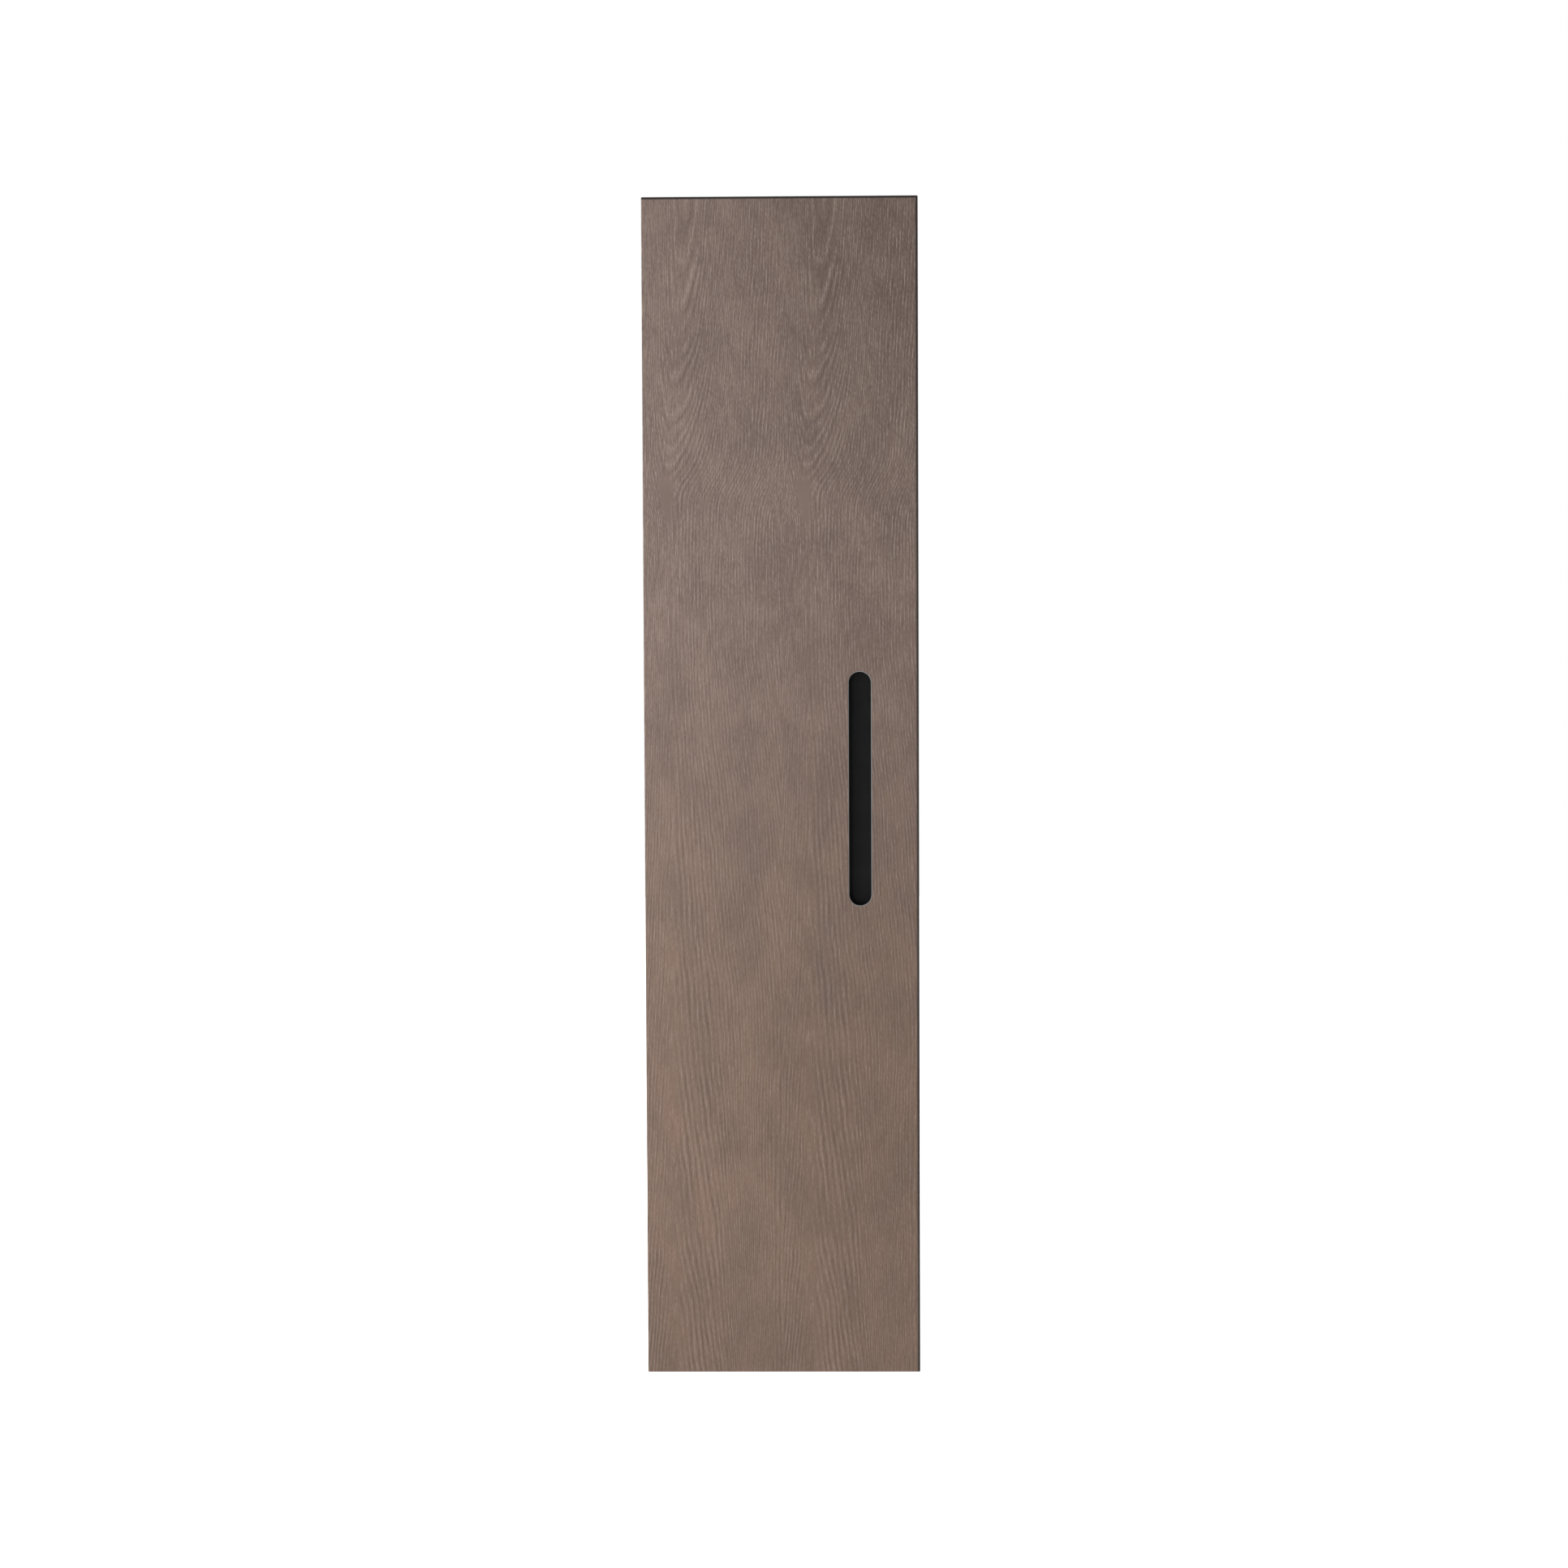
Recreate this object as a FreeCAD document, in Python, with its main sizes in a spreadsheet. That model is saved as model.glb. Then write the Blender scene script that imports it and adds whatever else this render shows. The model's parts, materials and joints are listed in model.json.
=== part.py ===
import FreeCAD, Part
import os

# A tall bathroom wall cabinet with one hinged door. Millimetres, +Z up, +X to the right, +Y into the wall.
# The origin is on the wall, at the middle of the hanging rail's row of screw holes.

SIZES = {
    # Door
    "door_width": 350.0,
    "door_height": 1500.0,
    "door_thickness": 18.0,
    "door_overlap": 1.0,
    "door_gap": 3.0,
    "door_edge_round": 1.5,
    "board_edge_round": 0.5,
    # Carcass
    "carcass_depth": 300.0,
    "board": 16.0,
    "back_thickness": 6.0,
    "back_inset": 20.0,
    "groove_depth": 6.0,
    "groove_play": 0.3,
    # Shelves and their pins
    "shelf_setback": 20.0,
    "shelf_play": 0.75,
    "pin_diameter": 5.0,
    "pin_seat": 8.0,
    "pin_reach": 8.0,
    "pin_collar_diameter": 7.0,
    "pin_collar_height": 1.0,
    "pin_row_inset": 37.0,
    "pin_hole_pitch": 32.0,
    # Knock-down joints
    "joint_inset": 60.0,
    "joint_pitch": 32.0,
    "cam_diameter": 15.0,
    "cam_height": 13.0,
    "cam_distance": 34.0,
    "cam_slot_width": 2.0,
    "cam_slot_depth": 3.0,
    "cam_bolt_diameter": 6.6,
    "cam_bolt_seat": 11.0,
    "cam_bolt_overlap": 4.5,
    "dowel_diameter": 8.0,
    "dowel_length": 30.0,
    "dowel_seat": 11.0,
    "fit": 0.05,
    # Finger slot in the door
    "slot_width": 30.0,
    "slot_length": 300.0,
    "slot_from_edge": 75.0,
    "slot_skin": 8.0,
    "collar_wall": 1.2,
    "collar_rim_round": 0.8,
    "collar_lip": 3.0,
    "collar_lip_height": 1.2,
    "tray_reach": 15.0,
    "tray_wall": 2.5,
    "tray_floor": 1.5,
    "tray_flange": 8.0,
    "tray_flange_height": 2.0,
    # Cup hinges
    "hinge_from_end": 110.0,
    "hinge_pin_from_edge": 8.0,
    "hinge_pin_depth": 9.7,
    "hinge_pin_diameter": 3.0,
    "hinge_pin_play": 0.05,
    "cup_diameter": 35.0,
    "cup_depth": 13.5,
    "cup_wall": 1.0,
    "cup_floor": 0.9,
    "cup_edge_distance": 3.0,
    "cup_flange_height": 1.2,
    "cup_flange_width": 22.0,
    "cup_flange_length": 60.0,
    "cup_screw_offset": 6.0,
    "cup_screw_spacing": 48.0,
    "lug_thickness": 2.0,
    "lug_height": 6.4,
    "lug_width": 6.0,
    "lug_play": 0.4,
    "arm_thickness": 2.4,
    "arm_width": 10.0,
    "arm_bend_radius": 4.0,
    "arm_knuckle_diameter": 5.2,
    "arm_back_width": 16.0,
    "arm_back_start": 12.0,
    "arm_reach": 60.0,
    "plate_height": 4.3,
    "plate_base": 1.6,
    "plate_setback": 37.0,
    "plate_wing_length": 48.0,
    "plate_wing_width": 14.0,
    "plate_ridge_width": 14.0,
    "plate_ridge_start": 14.0,
    "plate_screw_spacing": 32.0,
    "arm_screw_offset": 10.0,
    # Magnetic catch
    "catch_width": 14.0,
    "catch_depth": 32.0,
    "catch_height": 46.0,
    "magnet_width": 6.0,
    "magnet_depth": 20.0,
    "magnet_height": 24.0,
    "pole_thickness": 1.5,
    "pole_gap": 0.1,
    "catch_play": 0.2,
    "catch_screw_spacing": 35.0,
    "strike_thickness": 1.5,
    "strike_height": 44.0,
    "bumper_diameter": 8.0,
    "bumper_from_end": 25.0,
    "bumper_gap": 0.2,
    # Hanging rail and hangers
    "rail_drop": 60.0,
    "rail_end_gap": 8.0,
    "rail_sheet": 2.0,
    "rail_foot": 16.0,
    "rail_step_height": 14.0,
    "rail_step": 8.0,
    "rail_lip": 16.0,
    "rail_hole_diameter": 6.5,
    "rail_hole_spacing": 224.0,
    "hanger_width": 18.0,
    "hanger_depth": 48.0,
    "hanger_height": 60.0,
    "hanger_top_play": 2.0,
    "moulding_round": 1.5,
    "hook_thickness": 3.0,
    "hook_height": 10.0,
    "hook_tooth": 9.0,
    "hook_tooth_width": 3.2,
    "hook_reach_in": 32.0,
    "hook_play": 0.2,
    "hook_lip_gap": 0.3,
    "hook_window_play": 2.5,
    "adjuster_drop": 25.0,
    "adjuster_length": 14.0,
    "hanger_screw_pitch": 28.0,
    "hanger_screw_drop": 22.0,
    # Screws
    "screw_diameter": 3.5,
    "screw_head_diameter": 7.0,
    "screw_head_height": 1.6,
    "screw_bite": 10.0,
    "socket_width": 2.6,
    "socket_share": 0.6,
    "head_taper": 0.7,
    "strike_head_height": 1.0,
    "cut_run": 1.0,
}
COMPARTMENTS = 6
FIXED_SHELF_NUMBER = 3
CATCH_COMPARTMENT_NUMBER = 5
HOLES_PER_GROUP = 5
RAIL_HOLES = 2
BOX_EDGES = 12

doc = FreeCAD.newDocument("bathroom_cabinet")
dims = doc.addObject("Spreadsheet::Sheet", "dims")
for row, (alias, value) in enumerate(SIZES.items(), start=1):
    dims.set(f"A{row}", alias.replace("_", " "))
    dims.set(f"B{row}", str(value))
    dims.setAlias(f"B{row}", alias)
doc.recompute()

TURNS = {
    "+x": FreeCAD.Rotation(FreeCAD.Vector(0, 1, 0), 90),
    "-x": FreeCAD.Rotation(FreeCAD.Vector(0, 1, 0), -90),
    "+y": FreeCAD.Rotation(FreeCAD.Vector(1, 0, 0), -90),
    "-y": FreeCAD.Rotation(FreeCAD.Vector(1, 0, 0), 90),
    "+z": FreeCAD.Rotation(),
    "bend": FreeCAD.Rotation(FreeCAD.Vector(0, 0, 1), -90),
}
nodes = {}


def size(text):
    """Write a formula of size names as an expression on the sheet."""
    words = text.replace("(", " ( ").replace(")", " ) ").split()
    return "(" + " ".join(f"dims.{word}" if word in SIZES else word for word in words) + ")"


# Planes and lines that the pieces share
CARCASS_WIDTH = size("door_width - 2 * door_overlap")
CARCASS_HEIGHT = size("door_height - 2 * door_overlap")
OUTER_X = f"({CARCASS_WIDTH} / 2)"
INNER_X = size(f"{OUTER_X} - board")
INNER_WIDTH = f"(2 * {INNER_X})"
TOP_Z = size("rail_drop")
BOTTOM_Z = f"({TOP_Z} - {CARCASS_HEIGHT})"
INNER_TOP_Z = size(f"{TOP_Z} - board")
INNER_BOTTOM_Z = size(f"{BOTTOM_Z} + board")
INNER_HEIGHT = f"({INNER_TOP_Z} - {INNER_BOTTOM_Z})"
MIDDLE_Z = f"(({TOP_Z} + {BOTTOM_Z}) / 2)"
FRONT_Y = size("0 - carcass_depth")
BACK_FRONT_Y = size("0 - back_inset - back_thickness")
DOOR_BACK_Y = size(f"{FRONT_Y} - door_gap")
DOOR_FRONT_Y = size(f"{DOOR_BACK_Y} - door_thickness")
DOOR_LEFT_X = size("0 - door_width / 2")
DOOR_RIGHT_X = size("door_width / 2")
SHELF_STEP = size(f"({INNER_HEIGHT} + board) / {COMPARTMENTS}")


def put(item, x, y, z, turn="+z"):
    """Place an item at formulas of the sheet, with its own axis turned to one of the main directions."""
    item.Placement = FreeCAD.Placement(FreeCAD.Vector(), TURNS[turn])
    item.setExpression("Placement.Base.x", x)
    item.setExpression("Placement.Base.y", y)
    item.setExpression("Placement.Base.z", z)
    return item


def block(x, y, z, width, depth, height):
    """Box centred on x and z that runs from y towards the wall."""
    item = doc.addObject("Part::Box", "block")
    item.setExpression("Length", width)
    item.setExpression("Width", depth)
    item.setExpression("Height", height)
    return put(item, f"{x} - {width} / 2", y, f"{z} - {height} / 2")


def rod(axis, x, y, z, diameter, length):
    """Cylinder that starts at a point and runs along a main direction."""
    item = doc.addObject("Part::Cylinder", "rod")
    item.setExpression("Radius", f"{diameter} / 2")
    item.setExpression("Height", length)
    return put(item, x, y, z, axis)


def joined(*items):
    """One solid made of several that meet."""
    item = doc.addObject("Part::MultiFuse", "joined")
    item.Shapes = list(items)
    item.Refine = True
    return item


def eased(base, radius):
    """Box with all its edges rounded."""
    item = doc.addObject("Part::Fillet", "eased")
    item.Base = base
    item.Edges = [(edge, radius, radius) for edge in range(1, BOX_EDGES + 1)]
    return item


def stadium(x, y, z, width, depth, length):
    """Upright slot shape with round ends, running from y towards the wall."""
    rise = f"(({length} - {width}) / 2)"
    middle = block(x, y, z, width, depth, f"({length} - {width})")
    upper = rod("+y", x, y, f"{z} + {rise}", width, depth)
    lower = rod("+y", x, y, f"{z} - {rise}", width, depth)
    return joined(middle, upper, lower)


def cut(base, tools):
    """Solid with a list of tools taken away from it."""
    item = doc.addObject("Part::Cut", "cut")
    item.Base = base
    item.Tool = tools[0] if len(tools) == 1 else joined(*tools)
    return item


def node(label, item):
    """Register a finished sub-part under its name."""
    item.Label = label
    nodes[label] = item
    return item


def group(label, items):
    """Sub-part made of several equal pieces."""
    item = doc.addObject("Part::Compound", "group")
    item.Links = list(items)
    return node(label, item)


def screw(axis, x, y, z, bite, head=size("screw_head_height")):
    """Pan-head screw with a socket, seated at a point and driven along a main direction."""
    back = {"x": x, "y": y, "z": z}
    back[axis[1]] += f" {'-' if axis[0] == '+' else '+'} {head}"
    cap = doc.addObject("Part::Cone", "head")
    cap.setExpression("Radius1", size("head_taper * screw_head_diameter / 2"))
    cap.setExpression("Radius2", size("screw_head_diameter / 2"))
    cap.setExpression("Height", head)
    put(cap, back["x"], back["y"], back["z"], axis)
    socket = doc.addObject("Part::Prism", "socket")
    socket.Polygon = 6
    socket.setExpression("Circumradius", size("socket_width / 2"))
    socket.setExpression("Height", size(f"{head} * socket_share"))
    put(socket, back["x"], back["y"], back["z"], axis)
    shank = rod(axis, x, y, z, size("screw_diameter"), bite)
    return cut(joined(cap, shank), [socket])


def screw_hole(axis, x, y, z, bite):
    """Round hole for a screw seated at a point, with room at its tip."""
    return rod(axis, x, y, z, size("screw_diameter + 2 * fit"), size(f"{bite} + fit"))


def shelf_underside(number):
    """Height of a shelf's underside, counted from the bottom panel up."""
    return size(f"{INNER_BOTTOM_Z} + {number} * {SHELF_STEP} - board")


def compartment_middle(number):
    """Height of the middle of a compartment, counted from the bottom panel up."""
    return size(f"{INNER_BOTTOM_Z} + ( {number} - 0.5 ) * {SHELF_STEP} - board / 2")


# Knock-down joints: a cam, its bolt and a dowel at the front and at the back of each board end
cams, cam_bolts, dowels = [], [], []
side_tools = {-1: [], 1: []}
JOINT_LINES = (
    (size(f"{FRONT_Y} + joint_inset"), size(f"{FRONT_Y} + joint_inset + joint_pitch")),
    (size("0 - joint_inset"), size("0 - joint_inset - joint_pitch")),
)


def jointed_ends(underside, cam_from_top):
    """Fit both ends of a board with cams, bolts and dowels, and return the tools that cut the board."""
    tools = []
    line_z = size(f"{underside} + board / 2")
    cam_z = size(f"{underside} + board - cam_height") if cam_from_top else underside
    slot_z = size(f"{underside} + board - cam_slot_depth / 2") if cam_from_top else size(
        f"{underside} + cam_slot_depth / 2")
    bore = size("cam_bolt_diameter + 2 * fit")
    bolt_length = size("cam_bolt_seat + cam_distance - cam_diameter / 2 + cam_bolt_overlap")
    for side, inward in ((-1, "+x"), (1, "-x")):
        seat_x = size(f"{side} * ( {INNER_X} + cam_bolt_seat )")
        cam_x = size(f"{side} * ( {INNER_X} - cam_distance )")
        dowel_x = size(f"{side} * ( {INNER_X} + dowel_seat )")
        for cam_y, dowel_y in JOINT_LINES:
            cam = rod("+z", cam_x, cam_y, cam_z, size("cam_diameter"), size("cam_height"))
            bore_run = rod(inward, seat_x, cam_y, line_z, bore, size(f"{bolt_length} + fit"))
            slot = block(cam_x, size(f"{cam_y} - cam_diameter / 4"), slot_z,
                         size("cam_slot_width"), size("cam_diameter / 2"), size("cam_slot_depth"))
            cams.append(cut(cam, [bore_run, slot]))
            cam_bolts.append(rod(inward, seat_x, cam_y, line_z, size("cam_bolt_diameter"), bolt_length))
            dowels.append(rod(inward, dowel_x, dowel_y, line_z, size("dowel_diameter"), size("dowel_length")))
            dowel_bore = rod(inward, dowel_x, dowel_y, line_z, size("dowel_diameter + 2 * fit"),
                             size("dowel_length + fit"))
            pocket = rod("+z", cam_x, cam_y, cam_z, size("cam_diameter + 2 * fit"), size("cam_height"))
            tools += [bore_run, dowel_bore, pocket]
            side_tools[side] += [bore_run, dowel_bore]
    return tools


# Carcass boards
BOARD_ROUND = min(dims.board_edge_round, dims.board / 3)


def back_groove(z):
    """Tool that grooves a horizontal board for the back panel."""
    return block("0", BACK_FRONT_Y, z, CARCASS_WIDTH, size("back_thickness + groove_play"),
                 size("2 * groove_depth"))


top_board = block("0", FRONT_Y, size(f"{INNER_TOP_Z} + board / 2"), INNER_WIDTH,
                  size("carcass_depth"), size("board"))
node("top_panel", cut(eased(top_board, BOARD_ROUND), jointed_ends(INNER_TOP_Z, True) + [back_groove(INNER_TOP_Z)]))
bottom_board = block("0", FRONT_Y, size(f"{BOTTOM_Z} + board / 2"), INNER_WIDTH,
                     size("carcass_depth"), size("board"))
node("bottom_panel", cut(eased(bottom_board, BOARD_ROUND),
                         jointed_ends(BOTTOM_Z, False) + [back_groove(INNER_BOTTOM_Z)]))

SHELF_DEPTH = size(f"{BACK_FRONT_Y} - {FRONT_Y} - shelf_setback")
SHELF_FRONT_Y = size(f"{FRONT_Y} + shelf_setback")
fixed_underside = shelf_underside(FIXED_SHELF_NUMBER)
fixed_board = block("0", SHELF_FRONT_Y, size(f"{fixed_underside} + board / 2"), INNER_WIDTH,
                    SHELF_DEPTH, size("board"))
node("fixed_shelf", cut(eased(fixed_board, BOARD_ROUND), jointed_ends(fixed_underside, False)))

# Adjustable shelves on pins in groups of holes
pins = []
PIN_ROWS = (size(f"{FRONT_Y} + pin_row_inset + shelf_setback"), size(f"{BACK_FRONT_Y} - pin_row_inset"))
for number in range(1, COMPARTMENTS):
    if number == FIXED_SHELF_NUMBER:
        continue
    underside = shelf_underside(number)
    pin_z = size(f"{underside} - pin_diameter / 2 - fit")
    shelf_board = block("0", SHELF_FRONT_Y, size(f"{underside} + board / 2"),
                        size(f"{INNER_WIDTH} - 2 * shelf_play"), size(f"{SHELF_DEPTH} - shelf_play"),
                        size("board"))
    node(f"shelf_{number if number < FIXED_SHELF_NUMBER else number - 1}", eased(shelf_board, BOARD_ROUND))
    for side, inward in ((-1, "+x"), (1, "-x")):
        for row_y in PIN_ROWS:
            seat_x = size(f"{side} * ( {INNER_X} + pin_seat )")
            pin = rod(inward, seat_x, row_y, pin_z, size("pin_diameter"), size("pin_seat + pin_reach"))
            collar_x = size(f"{side} * {INNER_X}")
            collar = rod(inward, collar_x, row_y, pin_z, size("pin_collar_diameter"), size("pin_collar_height"))
            shelf_room = block("0", row_y, size(f"{underside} + board / 2"), INNER_WIDTH,
                               size("pin_collar_diameter"), size("board + 2 * fit"))
            shelf_room.setExpression("Placement.Base.y", size(f"{row_y} - pin_collar_diameter / 2"))
            pins.append(cut(joined(pin, collar), [shelf_room]))
            for hole in range(HOLES_PER_GROUP):
                step = hole - HOLES_PER_GROUP // 2
                side_tools[side].append(
                    rod(inward, seat_x, row_y, size(f"{pin_z} + {step} * pin_hole_pitch"),
                        size("pin_diameter + 2 * fit"), size("pin_seat + cut_run")))
group("shelf_pins", pins)
group("cam_locks", cams)
group("cam_bolts", cam_bolts)
group("wood_dowels", dowels)

# Door heights of the hinges and the catch
HINGES = {
    "top": size(f"{TOP_Z} + door_overlap - hinge_from_end"),
    "middle": compartment_middle(FIXED_SHELF_NUMBER + 1),
    "bottom": size(f"{BOTTOM_Z} - door_overlap + hinge_from_end"),
}
CATCH_Z = compartment_middle(CATCH_COMPARTMENT_NUMBER)
PIN_X = size(f"{DOOR_LEFT_X} + hinge_pin_from_edge")
PIN_Y = size(f"{DOOR_BACK_Y} - hinge_pin_depth")
CUP_X = size(f"{DOOR_LEFT_X} + cup_edge_distance + cup_diameter / 2")
CUP_BOTTOM_Y = size(f"{DOOR_BACK_Y} - cup_depth")
CUP_FLOOR_Y = size(f"{CUP_BOTTOM_Y} + cup_floor")
CUP_SCREW_X = size(f"{CUP_X} + cup_screw_offset")
CUP_SEAT_Y = size(f"{DOOR_BACK_Y} + cup_flange_height")
CUP_SCREW_BITE = size("screw_bite - cup_flange_height")
ARM_X = size(f"0 - {INNER_X} + plate_height")
PLATE_Y = size(f"{FRONT_Y} + plate_setback")
PLATE_SEAT_X = size(f"0 - {INNER_X} + plate_base")
PLATE_BITE = size("plate_base + screw_bite")
ARM_SCREW_Y = size(f"{PLATE_Y} + arm_screw_offset")
ARM_SEAT_X = size(f"{ARM_X} + arm_thickness")
ARM_BITE = size("arm_thickness + plate_height - plate_base")


def hinge_cup(z):
    """Cup with a flange that is screwed on the door's back, and two lugs that hold the pin."""
    shell = rod("+y", CUP_X, CUP_BOTTOM_Y, z, size("cup_diameter"), size("cup_depth"))
    room_diameter = size("cup_diameter - 2 * cup_wall")
    room = rod("+y", CUP_X, CUP_FLOOR_Y, z, room_diameter, size("cup_depth + cup_flange_height"))
    flange = stadium(CUP_SCREW_X, DOOR_BACK_Y, z, size("cup_flange_width"), size("cup_flange_height"),
                     size("cup_flange_length"))
    lug_z = size("arm_width / 2 + lug_play + lug_thickness / 2")
    lugs = [block(PIN_X, CUP_BOTTOM_Y, f"{z} {sign} {lug_z}", size("lug_width"), size("lug_height + cup_floor"),
                  size("lug_thickness")) for sign in "+-"]
    pin_hole = rod("+z", PIN_X, PIN_Y, f"{z} - 2 * {lug_z}", size("hinge_pin_diameter + 2 * fit"),
                   f"(4 * {lug_z})")
    screw_holes = [screw_hole("-y", CUP_SCREW_X, CUP_SEAT_Y, f"{z} {sign} {size('cup_screw_spacing / 2')}",
                              CUP_SCREW_BITE) for sign in "+-"]
    hollow = cut(joined(shell, flange), [room])
    return cut(joined(hollow, *lugs), [pin_hole] + screw_holes)


def hinge_pin(z):
    """Steel pin across the two lugs of a cup."""
    half = size("arm_width / 2 + lug_play + lug_thickness")
    return rod("+z", PIN_X, PIN_Y, f"{z} - {half}", size("hinge_pin_diameter"), f"(2 * {half})")


def hinge_arm(z):
    """Bent arm from the knuckle in the cup, round the door's edge, to the plate on the side panel."""
    foot_y = size(f"{PIN_Y} - arm_thickness / 2")
    bend_x = size(f"{ARM_X} + arm_thickness - arm_bend_radius")
    bend_y = size(f"{foot_y} + arm_bend_radius")
    low_z = size(f"{z} - arm_width / 2")
    knuckle = rod("+z", PIN_X, PIN_Y, low_z, size("arm_knuckle_diameter"), size("arm_width"))
    foot_run = f"({bend_x} - {PIN_X})"
    foot = block(f"({PIN_X} + {foot_run} / 2)", foot_y, z, foot_run, size("arm_thickness"), size("arm_width"))
    outer_bend = rod("bend", bend_x, bend_y, low_z, size("2 * arm_bend_radius"), size("arm_width"))
    outer_bend.Angle = 90
    inner_bend = rod("bend", bend_x, bend_y, low_z, size("2 * ( arm_bend_radius - arm_thickness )"),
                     size("arm_width"))
    strip_x = size(f"{ARM_X} + arm_thickness / 2")
    end_y = size(f"{FRONT_Y} + arm_reach")
    strip = block(strip_x, bend_y, z, size("arm_thickness"), f"({end_y} - {bend_y})", size("arm_width"))
    back_y = size(f"{FRONT_Y} + arm_back_start")
    back = block(strip_x, back_y, z, size("arm_thickness"), f"({end_y} - {back_y})", size("arm_back_width"))
    bore = rod("+z", PIN_X, PIN_Y, low_z, size("hinge_pin_diameter + 2 * hinge_pin_play"), size("arm_width"))
    screw_bore = screw_hole("-x", ARM_SEAT_X, ARM_SCREW_Y, z, ARM_BITE)
    return cut(joined(knuckle, foot, cut(outer_bend, [inner_bend]), strip, back), [bore, screw_bore])


def hinge_plate(z):
    """Mounting plate with two wings and a ridge that carries the arm."""
    wing_x = size(f"0 - {INNER_X} + plate_base / 2")
    wing_y = size(f"{PLATE_Y} - plate_wing_width / 2")
    wings = block(wing_x, wing_y, z, size("plate_base"), size("plate_wing_width"), size("plate_wing_length"))
    ridge_x = size(f"0 - {INNER_X} + plate_height / 2")
    ridge_y = size(f"{FRONT_Y} + plate_ridge_start")
    ridge = block(ridge_x, ridge_y, z, size("plate_height"), size("arm_reach - plate_ridge_start"),
                  size("plate_ridge_width"))
    holes = [screw_hole("-x", PLATE_SEAT_X, PLATE_Y, f"{z} {sign} {size('plate_screw_spacing / 2')}", PLATE_BITE)
             for sign in "+-"]
    return cut(joined(wings, ridge), holes + [screw_hole("-x", ARM_SEAT_X, ARM_SCREW_Y, z, ARM_BITE)])


door_tools, cup_screws, plate_screws, arm_screws = [], [], [], []
for name, z in HINGES.items():
    node(f"{name}_hinge_cup", hinge_cup(z))
    node(f"{name}_hinge_pin", hinge_pin(z))
    node(f"{name}_hinge_arm", hinge_arm(z))
    node(f"{name}_hinge_plate", hinge_plate(z))
    arm_screws.append(screw("-x", ARM_SEAT_X, ARM_SCREW_Y, z, ARM_BITE))
    cup_bore = rod("+y", CUP_X, CUP_BOTTOM_Y, z, size("cup_diameter + 2 * fit"), size("cup_depth + cut_run"))
    door_tools.append(cup_bore)
    for sign in "+-":
        cup_screw_z = f"{z} {sign} {size('cup_screw_spacing / 2')}"
        cup_screws.append(screw("-y", CUP_SCREW_X, CUP_SEAT_Y, cup_screw_z, CUP_SCREW_BITE))
        door_tools.append(screw_hole("-y", CUP_SCREW_X, CUP_SEAT_Y, cup_screw_z, CUP_SCREW_BITE))
        plate_screw_z = f"{z} {sign} {size('plate_screw_spacing / 2')}"
        plate_screws.append(screw("-x", PLATE_SEAT_X, PLATE_Y, plate_screw_z, PLATE_BITE))
        side_tools[-1].append(screw_hole("-x", PLATE_SEAT_X, PLATE_Y, plate_screw_z, PLATE_BITE))
group("cup_screws", cup_screws)
group("plate_screws", plate_screws)
group("arm_screws", arm_screws)

# Finger slot: a collar through the door's skin and a tray behind it
SLOT_X = size(f"{DOOR_RIGHT_X} - slot_from_edge")
SKIN_Y = size(f"{DOOR_FRONT_Y} + slot_skin")
TRAY_DEPTH = size(f"{DOOR_BACK_Y} - {SKIN_Y}")
FLANGE_Y = size(f"{DOOR_BACK_Y} - tray_flange_height")


def slot_shape(y, margin, depth):
    """Stadium of the finger slot grown by a margin all round."""
    return stadium(SLOT_X, y, MIDDLE_Z, size(f"slot_width + 2 * ( {margin} )"), depth,
                   size(f"slot_length + 2 * ( {margin} )"))


def tray_shape(y, margin, depth):
    """Stadium of the tray grown by a margin all round."""
    return slot_shape(y, f"tray_reach + {margin}", depth)


collar_sleeve = slot_shape(DOOR_FRONT_Y, "0 - fit", size("slot_skin"))
collar_lip = slot_shape(SKIN_Y, "collar_lip", size("collar_lip_height"))
collar_room = slot_shape(DOOR_FRONT_Y, "0 - collar_wall", size("slot_skin + collar_lip_height"))
collar_ring = cut(joined(collar_sleeve, collar_lip), [collar_room])
doc.recompute()


def on_inner_rim(edge):
    """True for an edge where the collar's bore meets the door's front."""
    box = edge.BoundBox
    flat = box.YLength < dims.fit and abs(box.YMin - collar_ring.Shape.BoundBox.YMin) < dims.fit
    reach = max(abs(box.XMin - box_middle), abs(box.XMax - box_middle))
    return flat and reach < dims.slot_width / 2 - dims.collar_wall / 2


box_middle = collar_ring.Shape.BoundBox.Center.x
rim_round = min(dims.collar_rim_round, dims.collar_wall * 2 / 3)
collar = doc.addObject("Part::Fillet", "collar")
collar.Base = collar_ring
collar.Edges = [(number, rim_round, rim_round) for number, edge in enumerate(collar_ring.Shape.Edges, start=1)
                if on_inner_rim(edge)]
node("handle_collar", collar)

tray_body = tray_shape(SKIN_Y, "0 - fit", TRAY_DEPTH)
tray_flange = tray_shape(FLANGE_Y, "tray_flange - fit", size("tray_flange_height"))
tray_room = tray_shape(SKIN_Y, "0 - tray_wall", size(f"{TRAY_DEPTH} - tray_floor"))
TRAY_SCREW_X = size("slot_width / 2 + tray_reach + tray_flange / 2")
TRAY_BITE = size("door_thickness - slot_skin")
tray_screw_places = [(f"({SLOT_X} {side} {TRAY_SCREW_X})", f"({MIDDLE_Z} + {step} * {size('slot_length / 3')})")
                     for side in "+-" for step in (-1, 0, 1)]
tray_holes = [screw_hole("-y", x, DOOR_BACK_Y, z, TRAY_BITE) for x, z in tray_screw_places]
node("handle_tray", cut(joined(tray_body, tray_flange), [tray_room] + tray_holes))
group("handle_tray_screws", [screw("-y", x, DOOR_BACK_Y, z, TRAY_BITE) for x, z in tray_screw_places])
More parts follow.
